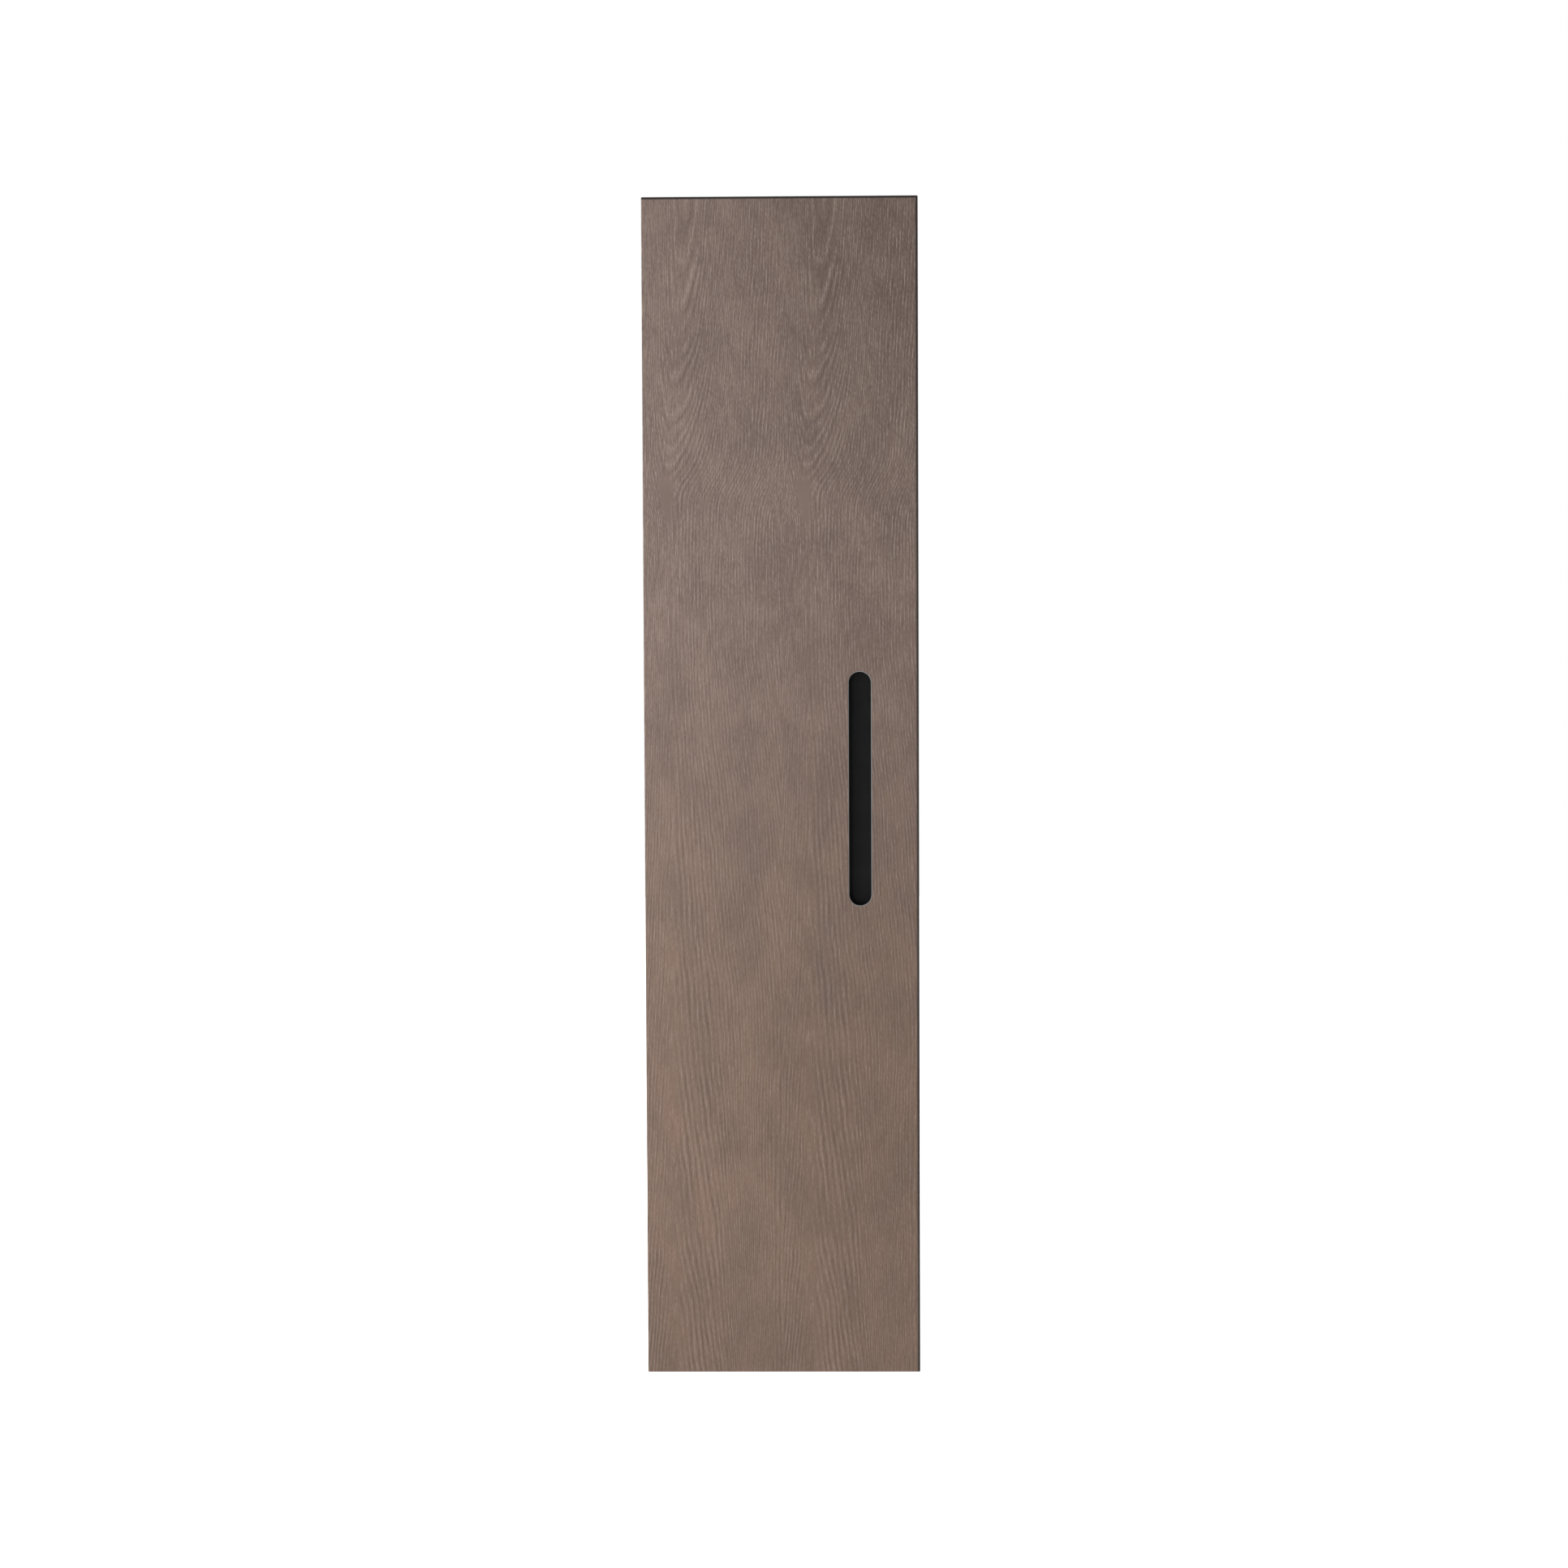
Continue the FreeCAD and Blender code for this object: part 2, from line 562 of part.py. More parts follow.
door_tools += [slot_shape(DOOR_FRONT_Y, "0", size("door_thickness")),
               tray_shape(SKIN_Y, "0", TRAY_DEPTH),
               tray_shape(FLANGE_Y, "tray_flange", size("tray_flange_height"))] + tray_holes

# Magnetic catch on the right side panel, its strike on the door, and soft bumpers in the door's free corners
CATCH_X = size(f"{INNER_X} - catch_width / 2")
STRIKE_SEAT_Y = size(f"{DOOR_BACK_Y} + strike_thickness")
POLE_Y = size(f"{STRIKE_SEAT_Y} + pole_gap")
MAGNET_ROOM = size("magnet_depth + 2 * catch_play")
CATCH_SCREW_Y = size(f"{FRONT_Y} + catch_depth - 2 * screw_diameter")
CATCH_SEAT_X = size(f"{INNER_X} - catch_width")
CATCH_BITE = size("catch_width + screw_bite")
catch_screw_places = [f"({CATCH_Z} {sign} {size('catch_screw_spacing / 2')})" for sign in "+-"]
catch_holes = [screw_hole("+x", CATCH_SEAT_X, CATCH_SCREW_Y, z, CATCH_BITE) for z in catch_screw_places]
housing = block(CATCH_X, FRONT_Y, CATCH_Z, size("catch_width"), size("catch_depth"), size("catch_height"))
housing_room = block(CATCH_X, FRONT_Y, CATCH_Z, size("magnet_width + 2 * pole_thickness + 2 * catch_play"),
                     MAGNET_ROOM, size("magnet_height + 2 * catch_play"))
node("catch_housing", cut(eased(housing, dims.moulding_round), [housing_room] + catch_holes))
node("catch_magnet", block(CATCH_X, size(f"{FRONT_Y} + catch_play"), CATCH_Z, size("magnet_width"),
                           size("magnet_depth"), size("magnet_height")))
pole_offset = size("magnet_width / 2 + pole_thickness / 2")
group("catch_poles", [block(f"({CATCH_X} {sign} {pole_offset})", POLE_Y, CATCH_Z, size("pole_thickness"),
                            size(f"{FRONT_Y} + catch_play + magnet_depth - {POLE_Y}"), size("magnet_height"))
                      for sign in "+-"])
group("catch_screws", [screw("+x", CATCH_SEAT_X, CATCH_SCREW_Y, z, CATCH_BITE) for z in catch_screw_places])
side_tools[1] += catch_holes

STRIKE_BITE = size("strike_thickness + screw_bite")
strike_holes = [screw_hole("-y", CATCH_X, STRIKE_SEAT_Y, z, STRIKE_BITE) for z in catch_screw_places]
strike = block(CATCH_X, DOOR_BACK_Y, CATCH_Z, size("catch_width"), size("strike_thickness"), size("strike_height"))
node("strike_plate", cut(strike, strike_holes))
group("strike_screws", [screw("-y", CATCH_X, STRIKE_SEAT_Y, z, STRIKE_BITE, size("strike_head_height"))
                        for z in catch_screw_places])
door_tools += strike_holes
BUMPER_X = size(f"{OUTER_X} - board / 2")
group("door_bumpers", [rod("+y", BUMPER_X, DOOR_BACK_Y, z, size("bumper_diameter"), size("door_gap - bumper_gap"))
                       for z in (size(f"{TOP_Z} - bumper_from_end"), size(f"{BOTTOM_Z} + bumper_from_end"))])

door_board = block("0", DOOR_FRONT_Y, MIDDLE_Z, size("door_width"), size("door_thickness"), size("door_height"))
door_round = min(dims.door_edge_round, dims.door_thickness / 3)
node("door_panel", cut(eased(door_board, door_round), door_tools))

# Hanging rail on the wall, with a lip that the two hooks reach over
LIP_TOP_Z = size("rail_step_height + rail_lip")
RAIL_LENGTH = size(f"{INNER_WIDTH} - 2 * rail_end_gap")
rail_leg = block("0", size("0 - rail_sheet"), size("( rail_step_height - rail_foot ) / 2"), RAIL_LENGTH,
                 size("rail_sheet"), size("rail_step_height + rail_foot"))
rail_shelf = block("0", size("0 - rail_step"), size("rail_step_height - rail_sheet / 2"), RAIL_LENGTH,
                   size("rail_step"), size("rail_sheet"))
rail_lip = block("0", size("0 - rail_step"), size(f"( rail_step_height - rail_sheet + {LIP_TOP_Z} ) / 2"),
                 RAIL_LENGTH, size("rail_sheet"), size("rail_lip + rail_sheet"))
rail_holes = []
for hole in range(RAIL_HOLES):
    hole_x = f"({hole - (RAIL_HOLES - 1) / 2} * {size('rail_hole_spacing')})"
    rail_holes.append(rod("+y", hole_x, size("0 - rail_sheet - cut_run"), "0", size("rail_hole_diameter"),
                          size("rail_sheet + 2 * cut_run")))
node("wall_rail", cut(joined(rail_leg, rail_shelf, rail_lip), rail_holes))

# Hangers in the top rear corners, each with a hook through the back panel and two adjusting screws
HANGER_Z = size(f"{INNER_TOP_Z} - hanger_top_play - hanger_height / 2")
HANGER_FRONT_Y = size(f"{BACK_FRONT_Y} - hanger_depth")
HOOK_LOW_Z = size(f"{LIP_TOP_Z} + hook_play")
HOOK_Z = size(f"{HOOK_LOW_Z} + hook_height / 2")
HOOK_FRONT_Y = size(f"{BACK_FRONT_Y} - hook_reach_in")
TOOTH_Y = size("0 - rail_step + rail_sheet + hook_lip_gap")
HOOK_BACK_Y = size(f"{TOOTH_Y} + hook_tooth_width")
LOWER_ADJUSTER_Z = size(f"{HOOK_Z} - adjuster_drop")
HANGER_BITE = size("hanger_width + screw_bite")
back_windows, adjusters, hanger_screws = [], [], []
for side, name, outward in ((-1, "left", "-x"), (1, "right", "+x")):
    hanger_x = size(f"{side} * ( {INNER_X} - hanger_width / 2 )")
    shank = block(hanger_x, HOOK_FRONT_Y, HOOK_Z, size("hook_thickness"), size(f"{HOOK_BACK_Y} - {HOOK_FRONT_Y}"),
                  size("hook_height"))
    tooth = block(hanger_x, TOOTH_Y, size(f"{HOOK_Z} - hook_tooth / 2"), size("hook_thickness"),
                  size("hook_tooth_width"), size("hook_height + hook_tooth"))
    node(f"{name}_hanger_hook", joined(shank, tooth))
    hook_room = block(hanger_x, size(f"{HOOK_FRONT_Y} - hook_play"), HOOK_Z,
                      size("hook_thickness + 2 * hook_play"), size("hook_reach_in + hook_play"),
                      size("hook_height + 2 * hook_play"))
    adjuster_holes = [screw_hole("+y", hanger_x, HANGER_FRONT_Y, z, size("adjuster_length"))
                      for z in (HOOK_Z, LOWER_ADJUSTER_Z)]
    seat_x = size(f"{side} * ( {INNER_X} - hanger_width )")
    screw_y = size(f"{BACK_FRONT_Y} - hanger_depth / 2")
    screw_heights = [size(f"{HOOK_Z} - hanger_screw_drop - {step} * hanger_screw_pitch") for step in (0, 1)]
    mount_holes = [screw_hole(outward, seat_x, screw_y, z, HANGER_BITE) for z in screw_heights]
    casing = block(hanger_x, HANGER_FRONT_Y, HANGER_Z, size("hanger_width"), size("hanger_depth"),
                   size("hanger_height"))
    node(f"{name}_hanger_body",
         cut(eased(casing, dims.moulding_round), [hook_room] + adjuster_holes + mount_holes))
    adjusters += [screw("+y", hanger_x, HANGER_FRONT_Y, z, size("adjuster_length"))
                  for z in (HOOK_Z, LOWER_ADJUSTER_Z)]
    hanger_screws += [screw(outward, seat_x, screw_y, z, HANGER_BITE) for z in screw_heights]
    side_tools[side] += mount_holes
    back_windows.append(block(hanger_x, BACK_FRONT_Y, HOOK_Z, size("hook_thickness + 2 * hook_window_play"),
                              size("back_thickness"), size("hook_height + 2 * hook_window_play")))
group("hanger_adjusters", adjusters)
group("hanger_screws", hanger_screws)

back_board = block("0", BACK_FRONT_Y, MIDDLE_Z, size(f"{INNER_WIDTH} + 2 * ( groove_depth - groove_play )"),
                   size("back_thickness"), size(f"{INNER_HEIGHT} + 2 * ( groove_depth - groove_play )"))
node("back_panel", cut(back_board, back_windows))

# Side panels, grooved for the back and drilled for everything that they carry
for side, name in ((-1, "left"), (1, "right")):
    board = block(size(f"{side} * ( {OUTER_X} - board / 2 )"), FRONT_Y, MIDDLE_Z, size("board"),
                  size("carcass_depth"), CARCASS_HEIGHT)
    groove = block(size(f"{side} * {INNER_X}"), BACK_FRONT_Y, MIDDLE_Z, size("2 * groove_depth"),
                   size("back_thickness + groove_play"), size(f"{INNER_HEIGHT} + 2 * groove_depth"))
    node(f"{name}_side_panel", cut(eased(board, BOARD_ROUND), [groove] + side_tools[side]))

doc.recompute()
failed = [item.Label for item in doc.Objects if {"Invalid", "Error"} & set(item.State)]
if failed:
    raise RuntimeError(f"Failed objects: {failed}")
for label, item in nodes.items():
    if item.Shape.isNull() or not item.Shape.isValid() or not item.Shape.Solids:
        raise RuntimeError(f"Bad shape: {label}")
os.makedirs("parts", exist_ok=True)
for label, item in nodes.items():
    item.Shape.exportStep(f"parts/{label}.step")
    box = item.Shape.BoundBox
    print(f"{label}: {len(item.Shape.Solids)} solids, {item.Shape.Volume:.1f} mm3, "
          f"{box.XLength:.1f} x {box.YLength:.1f} x {box.ZLength:.1f}")
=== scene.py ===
"""Dresses the tall wall-hung bathroom cabinet: finishes, fasteners, studio light and camera."""
import json
import logging
import math
from dataclasses import dataclass, field
from enum import Enum
from typing import ClassVar, Optional, Sequence, Union

import bmesh
import bpy
from mathutils import Euler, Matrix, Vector

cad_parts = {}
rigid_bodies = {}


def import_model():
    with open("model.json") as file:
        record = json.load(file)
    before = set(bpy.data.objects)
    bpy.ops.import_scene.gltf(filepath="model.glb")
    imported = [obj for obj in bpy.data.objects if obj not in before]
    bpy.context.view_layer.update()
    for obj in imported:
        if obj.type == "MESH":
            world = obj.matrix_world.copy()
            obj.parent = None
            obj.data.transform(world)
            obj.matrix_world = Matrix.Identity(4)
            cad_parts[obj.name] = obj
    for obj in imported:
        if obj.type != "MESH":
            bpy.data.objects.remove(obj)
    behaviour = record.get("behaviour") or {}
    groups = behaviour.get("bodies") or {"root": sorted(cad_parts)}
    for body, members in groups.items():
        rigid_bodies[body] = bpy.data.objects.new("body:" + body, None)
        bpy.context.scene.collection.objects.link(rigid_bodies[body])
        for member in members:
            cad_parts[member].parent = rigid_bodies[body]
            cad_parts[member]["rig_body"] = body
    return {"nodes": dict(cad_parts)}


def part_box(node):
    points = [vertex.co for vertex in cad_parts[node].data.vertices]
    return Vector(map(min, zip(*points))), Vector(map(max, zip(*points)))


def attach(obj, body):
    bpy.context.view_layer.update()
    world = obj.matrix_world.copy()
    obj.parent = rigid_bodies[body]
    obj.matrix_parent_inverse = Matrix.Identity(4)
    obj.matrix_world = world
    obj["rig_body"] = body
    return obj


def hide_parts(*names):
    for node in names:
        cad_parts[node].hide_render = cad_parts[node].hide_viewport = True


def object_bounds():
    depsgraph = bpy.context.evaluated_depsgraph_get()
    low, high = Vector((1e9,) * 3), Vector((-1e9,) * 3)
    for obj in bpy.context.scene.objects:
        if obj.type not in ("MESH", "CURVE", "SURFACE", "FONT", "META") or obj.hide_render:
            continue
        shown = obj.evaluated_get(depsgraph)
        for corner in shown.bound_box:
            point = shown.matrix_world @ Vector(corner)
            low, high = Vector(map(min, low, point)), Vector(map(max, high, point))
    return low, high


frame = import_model()
CAD_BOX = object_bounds()
LOG = logging.getLogger("cabinet")
MM = 0.001
TOUCH = 0.01 * MM

Socket = bpy.types.NodeSocket
Sockets = bpy.types.bpy_prop_collection
Feed = Union[float, str, tuple, Socket]
Feeds = dict[Union[str, int], Feed]
Colour = tuple[float, float, float, float]
Span = tuple[float, float]
WHITE: Colour = (1.0, 1.0, 1.0, 1.0)


def tone(red: int, green: int, blue: int) -> Colour:
    """Turns a display colour into a linear one.

    Args:
        red: Red, 0 to 255.
        green: Green, 0 to 255.
        blue: Blue, 0 to 255.

    Returns:
        The linear colour with full alpha.
    """
    linear = []
    for part in (red, green, blue):
        share = part / 255
        linear.append(share / 12.92 if share <= 0.04045 else ((share + 0.055) / 1.055) ** 2.4)
    return (linear[0], linear[1], linear[2], 1.0)


class Graph:
    """Short ways to add and join the nodes of one tree."""

    def __init__(self, tree: bpy.types.NodeTree) -> None:
        """Keeps the tree that the nodes go into."""
        self.tree = tree

    def offer(self, way: str, kind: str, values: dict[str, Optional[float]]) -> None:
        """Gives the tree sockets of its own.

        Args:
            way: INPUT or OUTPUT.
            kind: What the sockets carry: Float, Geometry or Material.
            values: The sockets' names with their values, or with None.
        """
        for name, value in values.items():
            socket = self.tree.interface.new_socket(name=name, in_out=way, socket_type=f"NodeSocket{kind}")
            if value is not None:
                socket.default_value = value

    def feed(self, socket: Socket, value: Feed) -> None:
        """Links a socket to another one, or sets its own value.

        Args:
            socket: The input to feed.
            value: An output to link from, or a plain value.
        """
        if isinstance(value, Socket):
            self.tree.links.new(value, socket)
        else:
            socket.default_value = value

    def add(self, kind: str, inputs: Optional[Feeds] = None, **settings: object) -> bpy.types.Node:
        """Adds a node.

        Args:
            kind: The node's type name.
            inputs: What its inputs are fed with, by their names or numbers.
            **settings: Properties set on the new node.

        Returns:
            The new node.
        """
        node = self.tree.nodes.new(kind)
        for name, value in settings.items():
            setattr(node, name, value)
        for key, value in (inputs or {}).items():
            self.feed(node.inputs[key], value)
        return node

    def math(self, operation: str, *values: Feed, clamp: bool = False) -> Socket:
        """Works out one number from up to three others."""
        inputs = dict(enumerate(values))
        return self.add("ShaderNodeMath", inputs, operation=operation, use_clamp=clamp).outputs[0]

    def plus(self, first: Feed, second: Feed) -> Socket:
        """Adds two numbers."""
        return self.math("ADD", first, second)

    def minus(self, first: Feed, second: Feed) -> Socket:
        """Takes the second number from the first."""
        return self.math("SUBTRACT", first, second)

    def times(self, first: Feed, second: Feed) -> Socket:
        """Multiplies two numbers."""
        return self.math("MULTIPLY", first, second)

    def over(self, first: Feed, second: Feed) -> Socket:
        """Divides the first number by the second."""
        return self.math("DIVIDE", first, second)

    def least(self, first: Feed, second: Feed) -> Socket:
        """Gives the smaller of two numbers."""
        return self.math("MINIMUM", first, second)

    def most(self, first: Feed, second: Feed) -> Socket:
        """Gives the larger of two numbers."""
        return self.math("MAXIMUM", first, second)

    def line(self, value: Feed, slope: Feed, start: Feed) -> Socket:
        """Multiplies a number by a slope and adds a start."""
        return self.math("MULTIPLY_ADD", value, slope, start)

    def between(self, share: Feed, first: Feed, second: Feed) -> Socket:
        """Goes from the first number, at a share of 0, to the second, at a share of 1."""
        return self.line(share, self.minus(second, first), first)

    def smooth(self, value: Feed, span: Span) -> Socket:
        """Goes softly from 0 to 1 between two places, upwards or downwards.

        Args:
            value: The number to read.
            span: Where the result is 0, and where it is 1.

        Returns:
            The soft step.
        """
        (start, first), (end, last) = sorted(zip(span, (0.0, 1.0)))
        inputs = {"Value": value, "From Min": start, "From Max": end, "To Min": first, "To Max": last}
        return self.add("ShaderNodeMapRange", inputs, interpolation_type="SMOOTHSTEP").outputs["Result"]

    def point(self, *values: Feed) -> Socket:
        """Joins two or three numbers into a vector."""
        return self.add("ShaderNodeCombineXYZ", dict(enumerate(values))).outputs[0]

    def split(self, vector: Socket) -> Sockets:
        """Parts a vector into its three numbers."""
        return self.add("ShaderNodeSeparateXYZ", {0: vector}).outputs

    def noise(self, place: Sequence[Feed], detail: float, rough: float = 0.5) -> Socket:
        """Reads smooth noise with features one unit wide, on a plane or in space.

        Args:
            place: Two or three coordinates, already divided by the features' sizes.
            detail: How many finer layers are added.
            rough: How strong the finer layers are.

        Returns:
            The noise, about 0.5 in the middle.
        """
        inputs = {"Vector": self.point(*place), "Scale": 1.0, "Detail": detail, "Roughness": rough}
        return self.add("ShaderNodeTexNoise", inputs, noise_dimensions=f"{len(place)}D").outputs[0]

    def mix(self, share: Feed, first: Feed, second: Feed) -> Socket:
        """Goes from the first colour, at a share of 0, to the second, at a share of 1."""
        return self.add("ShaderNodeMix", {0: share, 6: first, 7: second}, data_type="RGBA").outputs[2]


@dataclass(frozen=True)
class Drawn:
    """Noise drawn out along the grain.

    It has the width and length of a feature, a place of its own in the noise and a number of layers.
    """

    wide: Feed
    long: Feed
    shift: float = 0.0
    detail: float = 1.0

    def read(self, graph: Graph, across: Feed, along: Feed) -> Socket:
        """Reads the noise, about 0.5 in the middle, at a place across and along the grain in metres."""
        wide = graph.plus(graph.over(across, self.wide), self.shift)
        return graph.noise((wide, graph.over(along, self.long)), self.detail)

    def swing(self, graph: Graph, across: Feed, along: Feed) -> Socket:
        """Reads the noise with 0 in the middle."""
        return graph.minus(self.read(graph, across, along), 0.5)


class Effect(Graph):
    """A shader group that several finishes share, built once."""

    name: ClassVar[str] = ""
    inputs: ClassVar[dict[str, float]] = {}
    outputs: ClassVar[tuple[str, ...]] = ()

    def __init__(self) -> None:
        """Makes the group with its sockets and nodes."""
        super().__init__(bpy.data.node_groups.new(self.name, "ShaderNodeTree"))
        self.offer("INPUT", "Float", self.inputs)
        self.offer("OUTPUT", "Float", dict.fromkeys(self.outputs))
        self.given = self.add("NodeGroupInput").outputs
        self.add("NodeGroupOutput", self.work())

    def work(self) -> Feeds:
        """Builds the nodes between the group's inputs and outputs, and gives the outputs by name."""
        raise NotImplementedError

    @classmethod
    def place(cls, graph: Graph, values: Feeds) -> Sockets:
        """Puts the group into a material, feeds its named inputs and gives its named outputs."""
        tree = bpy.data.node_groups.get(cls.name) or cls().tree
        return graph.add("ShaderNodeGroup", values, node_tree=tree).outputs


class OakFigure(Effect):
    """Growth rings, pores and cloudy stain of slip-matched oak leaves, cut close to the heart of the log.

    Above the plain place on the heart line the rings make arches that point down, below it arches that
    point up. The rings are wide at the heart and close up outwards.
    """

    name = "oak_figure"
    inputs = {
        "Across": 0.0,
        "Along": 0.0,
        "Leaf Width": 175 * MM,
        "Heart": 28 * MM,
        "Heart Tilt": 0.11,
        "Cut Depth": 3 * MM,
        "Plain Place": 0.0,
        "Lean Up": 0.29,
        "Lean Down": 0.044,
        "Ring Width": 3.8 * MM,
        "Heart Ring Width": 4.9 * MM,
        "Pore Width": 1.4 * MM,
        "Pore Length": 20 * MM,
        "Fleck Width": 1.0 * MM,
        "Fleck Length": 26 * MM,
        "Dash Length": 5 * MM,
    }
    outputs = ("Dark Lines", "Bright Lines", "Pits And Shade", "Glints", "Cloud")

    # The heart line, tilted above the plain place and shifted below it.
    tilt_fade = 500 * MM
    foot_shift = 6 * MM
    foot_rise = (20 * MM, -40 * MM)

    # The arches, steeper on the left of the heart line and more open above the plain place.
    steep_side = -1.6
    wander = 9 * MM
    wander_noise = Drawn(110 * MM, 200 * MM)
    ripple = 4 * MM
    ripple_noise = Drawn(20 * MM, 60 * MM, shift=7.0, detail=2.0)
    lift_start = 30 * MM
    lift_end = 240 * MM
    lift_reach = (90 * MM, 20 * MM)
    drop_reach = (135 * MM, 55 * MM)
    opening = 28 * MM
    opening_reach = 35 * MM
    opening_rise = (-40 * MM, 60 * MM)
    low_spread = 0.7
    low_rise = (-100 * MM, -700 * MM)

    # The rings and their two lines, dark and bright.
    closing = 36 * MM
    unevenness = 0.6
    uneven_noise = Drawn(12 * MM, 120 * MM, shift=11.0)
    line_edge = 0.25

    # The plain tongue on the heart line.
    tongue_half = 6 * MM
    tongue_taper = 0.12
    tongue_edge = (4 * MM, -2 * MM)
    tongue_drop = 4 * MM
    tongue_height = (36 * MM, 22 * MM)

    # How strongly the lines show.
    own_noise = Drawn(6 * MM, 80 * MM, shift=19.0)
    own_edge = (0.32, 0.62)
    faintest = 0.25
    far_strength = 0.85
    heart_strength = 0.6
    heart_side = (3 * MM, 16 * MM)
    heart_blur = (-350 * MM, -600 * MM)
    pore_shift = 5.0
    pore_detail = 2.0
    pore_edge = (0.36, 0.60)
    least_broken = 0.45

    # Flecks in columns and short dashes, both staggered from column to column. Their high tail gives painted
    # glints, highlights on the pores' edges, and their low tail gives dark pores with painted shade beside
    # them.
    column_shift = 3.0
    column_stagger = -11.0
    dash_shift = 29.0
    dash_stagger = 2.7
    dash_share = 0.45
    # Painted glints: highlights on the pores' edges, fainter off the bright ring lines.
    glint_edge = (0.51, 0.61)
    glints_off_lines = 0.4
    # Dark pores with painted shade beside them.
    pit_and_shade_edge = (0.47, 0.37)

    # The patches of the stain.
    cloud_noise = Drawn(50 * MM, 90 * MM, detail=4.0)
    cloud_edge = (0.3, 0.7)

    def work(self) -> Feeds:
        """Follows the rings from the heart line outwards and strews pores along them.

        Returns:
            The figure's masks by name.
        """
        given = self.given
        self.along = given["Along"]
        self.in_leaf = self.math("WRAP", given["Across"], given["Leaf Width"], 0.0)
        self.rise = self.minus(self.along, given["Plain Place"])
        self.above = self.most(self.rise, 0.0)
        self.centred = self.minus(self.in_leaf, self.heart_line())
        self.beside = self.math("ABSOLUTE", self.centred)
        ring = self.ring_place()
        wave, near = self.ring_wave(ring)
        bare = self.bare()
        shown = self.times(self.strength(ring, near), bare)
        trough = self.smooth(wave, (-self.line_edge, -1.0))
        crest = self.smooth(wave, (self.line_edge, 1.0))
        fleck = self.flecks()
        on_lines = self.between(crest, self.glints_off_lines, 1.0)
        # Painted glints on the pores' edges, stronger on the bright ring lines.
        glint = self.times(self.smooth(fleck, self.glint_edge), on_lines)
        cloud = self.cloud_noise.read(self, given["Across"], self.along)
        return {
            "Dark Lines": self.times(trough, shown),
            "Bright Lines": self.times(crest, shown),
            # Dark pores with painted shade beside them.
            "Pits And Shade": self.times(self.smooth(fleck, self.pit_and_shade_edge), bare),
            "Glints": self.times(glint, bare),
            "Cloud": self.smooth(cloud, self.cloud_edge),
        }

    def heart_line(self) -> Socket:
        """Finds how far the heart line lies from the leaf's left edge.

        Returns:
            The distance in metres.
        """
        fade = self.line(self.above, 1.0 / self.tilt_fade, 1.0)
        tilted = self.over(self.times(self.above, self.given["Heart Tilt"]), fade)
        shift = self.times(self.smooth(self.rise, self.foot_rise), self.foot_shift)
        return self.plus(self.given["Heart"], self.plus(tilted, shift))

    def lean(self, away: Feed) -> Socket:
        """Finds how far the rings have moved outwards because the log tapers.

        Args:
            away: The distance from the heart line.

        Returns:
            The distance in metres.
        """
        above = self.times(self.math("TANH", self.over(self.above, self.lift_end)), self.lift_end)
        below = self.least(self.rise, 0.0)
        soft = self.over(self.times(above, above), self.plus(above, self.lift_start))
        lift = self.times(self.times(soft, self.given["Lean Up"]), self.smooth(away, self.lift_reach))
        drop = self.times(self.times(below, below), self.given["Lean Down"])
        return self.plus(lift, self.times(drop, self.smooth(away, self.drop_reach)))

    def ring_place(self) -> Socket:
        """Finds how far out from the heart a place lies.

        Returns:
            The distance in metres, the same all along one growth ring.
        """
        sway = self.wander_noise.swing(self, self.in_leaf, self.along)
        offset = self.line(sway, self.wander, self.centred)
        away = self.most(offset, self.times(offset, self.steep_side))
        ripple = self.ripple_noise.swing(self, self.in_leaf, self.along)
        taper = self.line(ripple, self.ripple, self.lean(away))
        squares = self.plus(self.times(away, away), self.math("POWER", self.given["Cut Depth"], 2.0))
        pull = self.minus(1.0, self.math("EXPONENT", self.over(away, -self.opening_reach)))
        opened = self.times(self.smooth(self.rise, self.opening_rise), self.opening)
        out = self.minus(self.math("SQRT", squares), self.times(pull, opened))
        spread = self.between(self.smooth(self.rise, self.low_rise), 1.0, self.low_spread)
        return self.minus(self.times(out, spread), taper)

    def ring_wave(self, ring: Feed) -> tuple[Socket, Socket]:
        """Counts the rings outwards and gives the wave that they make.

        Args:
            ring: How far out from the heart a place lies.

        Returns:
            The wave, 1 on each ring's bright side and -1 on its dark side, and how near the heart is, 1 to 0.
        """
        uneven = self.uneven_noise.swing(self, ring, self.along)
        dense = self.over(1.0, self.given["Ring Width"])
        spare = self.minus(dense, self.over(1.0, self.given["Heart Ring Width"]))
        out = self.most(ring, 0.0)
        near = self.math("EXPONENT", self.over(out, -self.closing))
        lag = self.times(self.minus(near, 1.0), self.times(spare, self.closing))
        inner = self.over(self.least(ring, 0.0), self.given["Heart Ring Width"])
        turns = self.plus(self.line(out, dense, lag), inner)
        turns = self.line(uneven, self.unevenness, turns)
        return self.math("COSINE", self.times(turns, math.tau)), near

    def bare(self) -> Socket:
        """Marks the plain tongue on the heart line.

        Returns:
            0 on the tongue and 1 elsewhere.
        """
        past = self.minus(self.beside, self.line(self.rise, self.tongue_taper, self.tongue_half))
        height = self.math("ABSOLUTE", self.plus(self.rise, self.tongue_drop))
        plain = self.times(self.smooth(past, self.tongue_edge), self.smooth(height, self.tongue_height))
        return self.minus(1.0, plain)

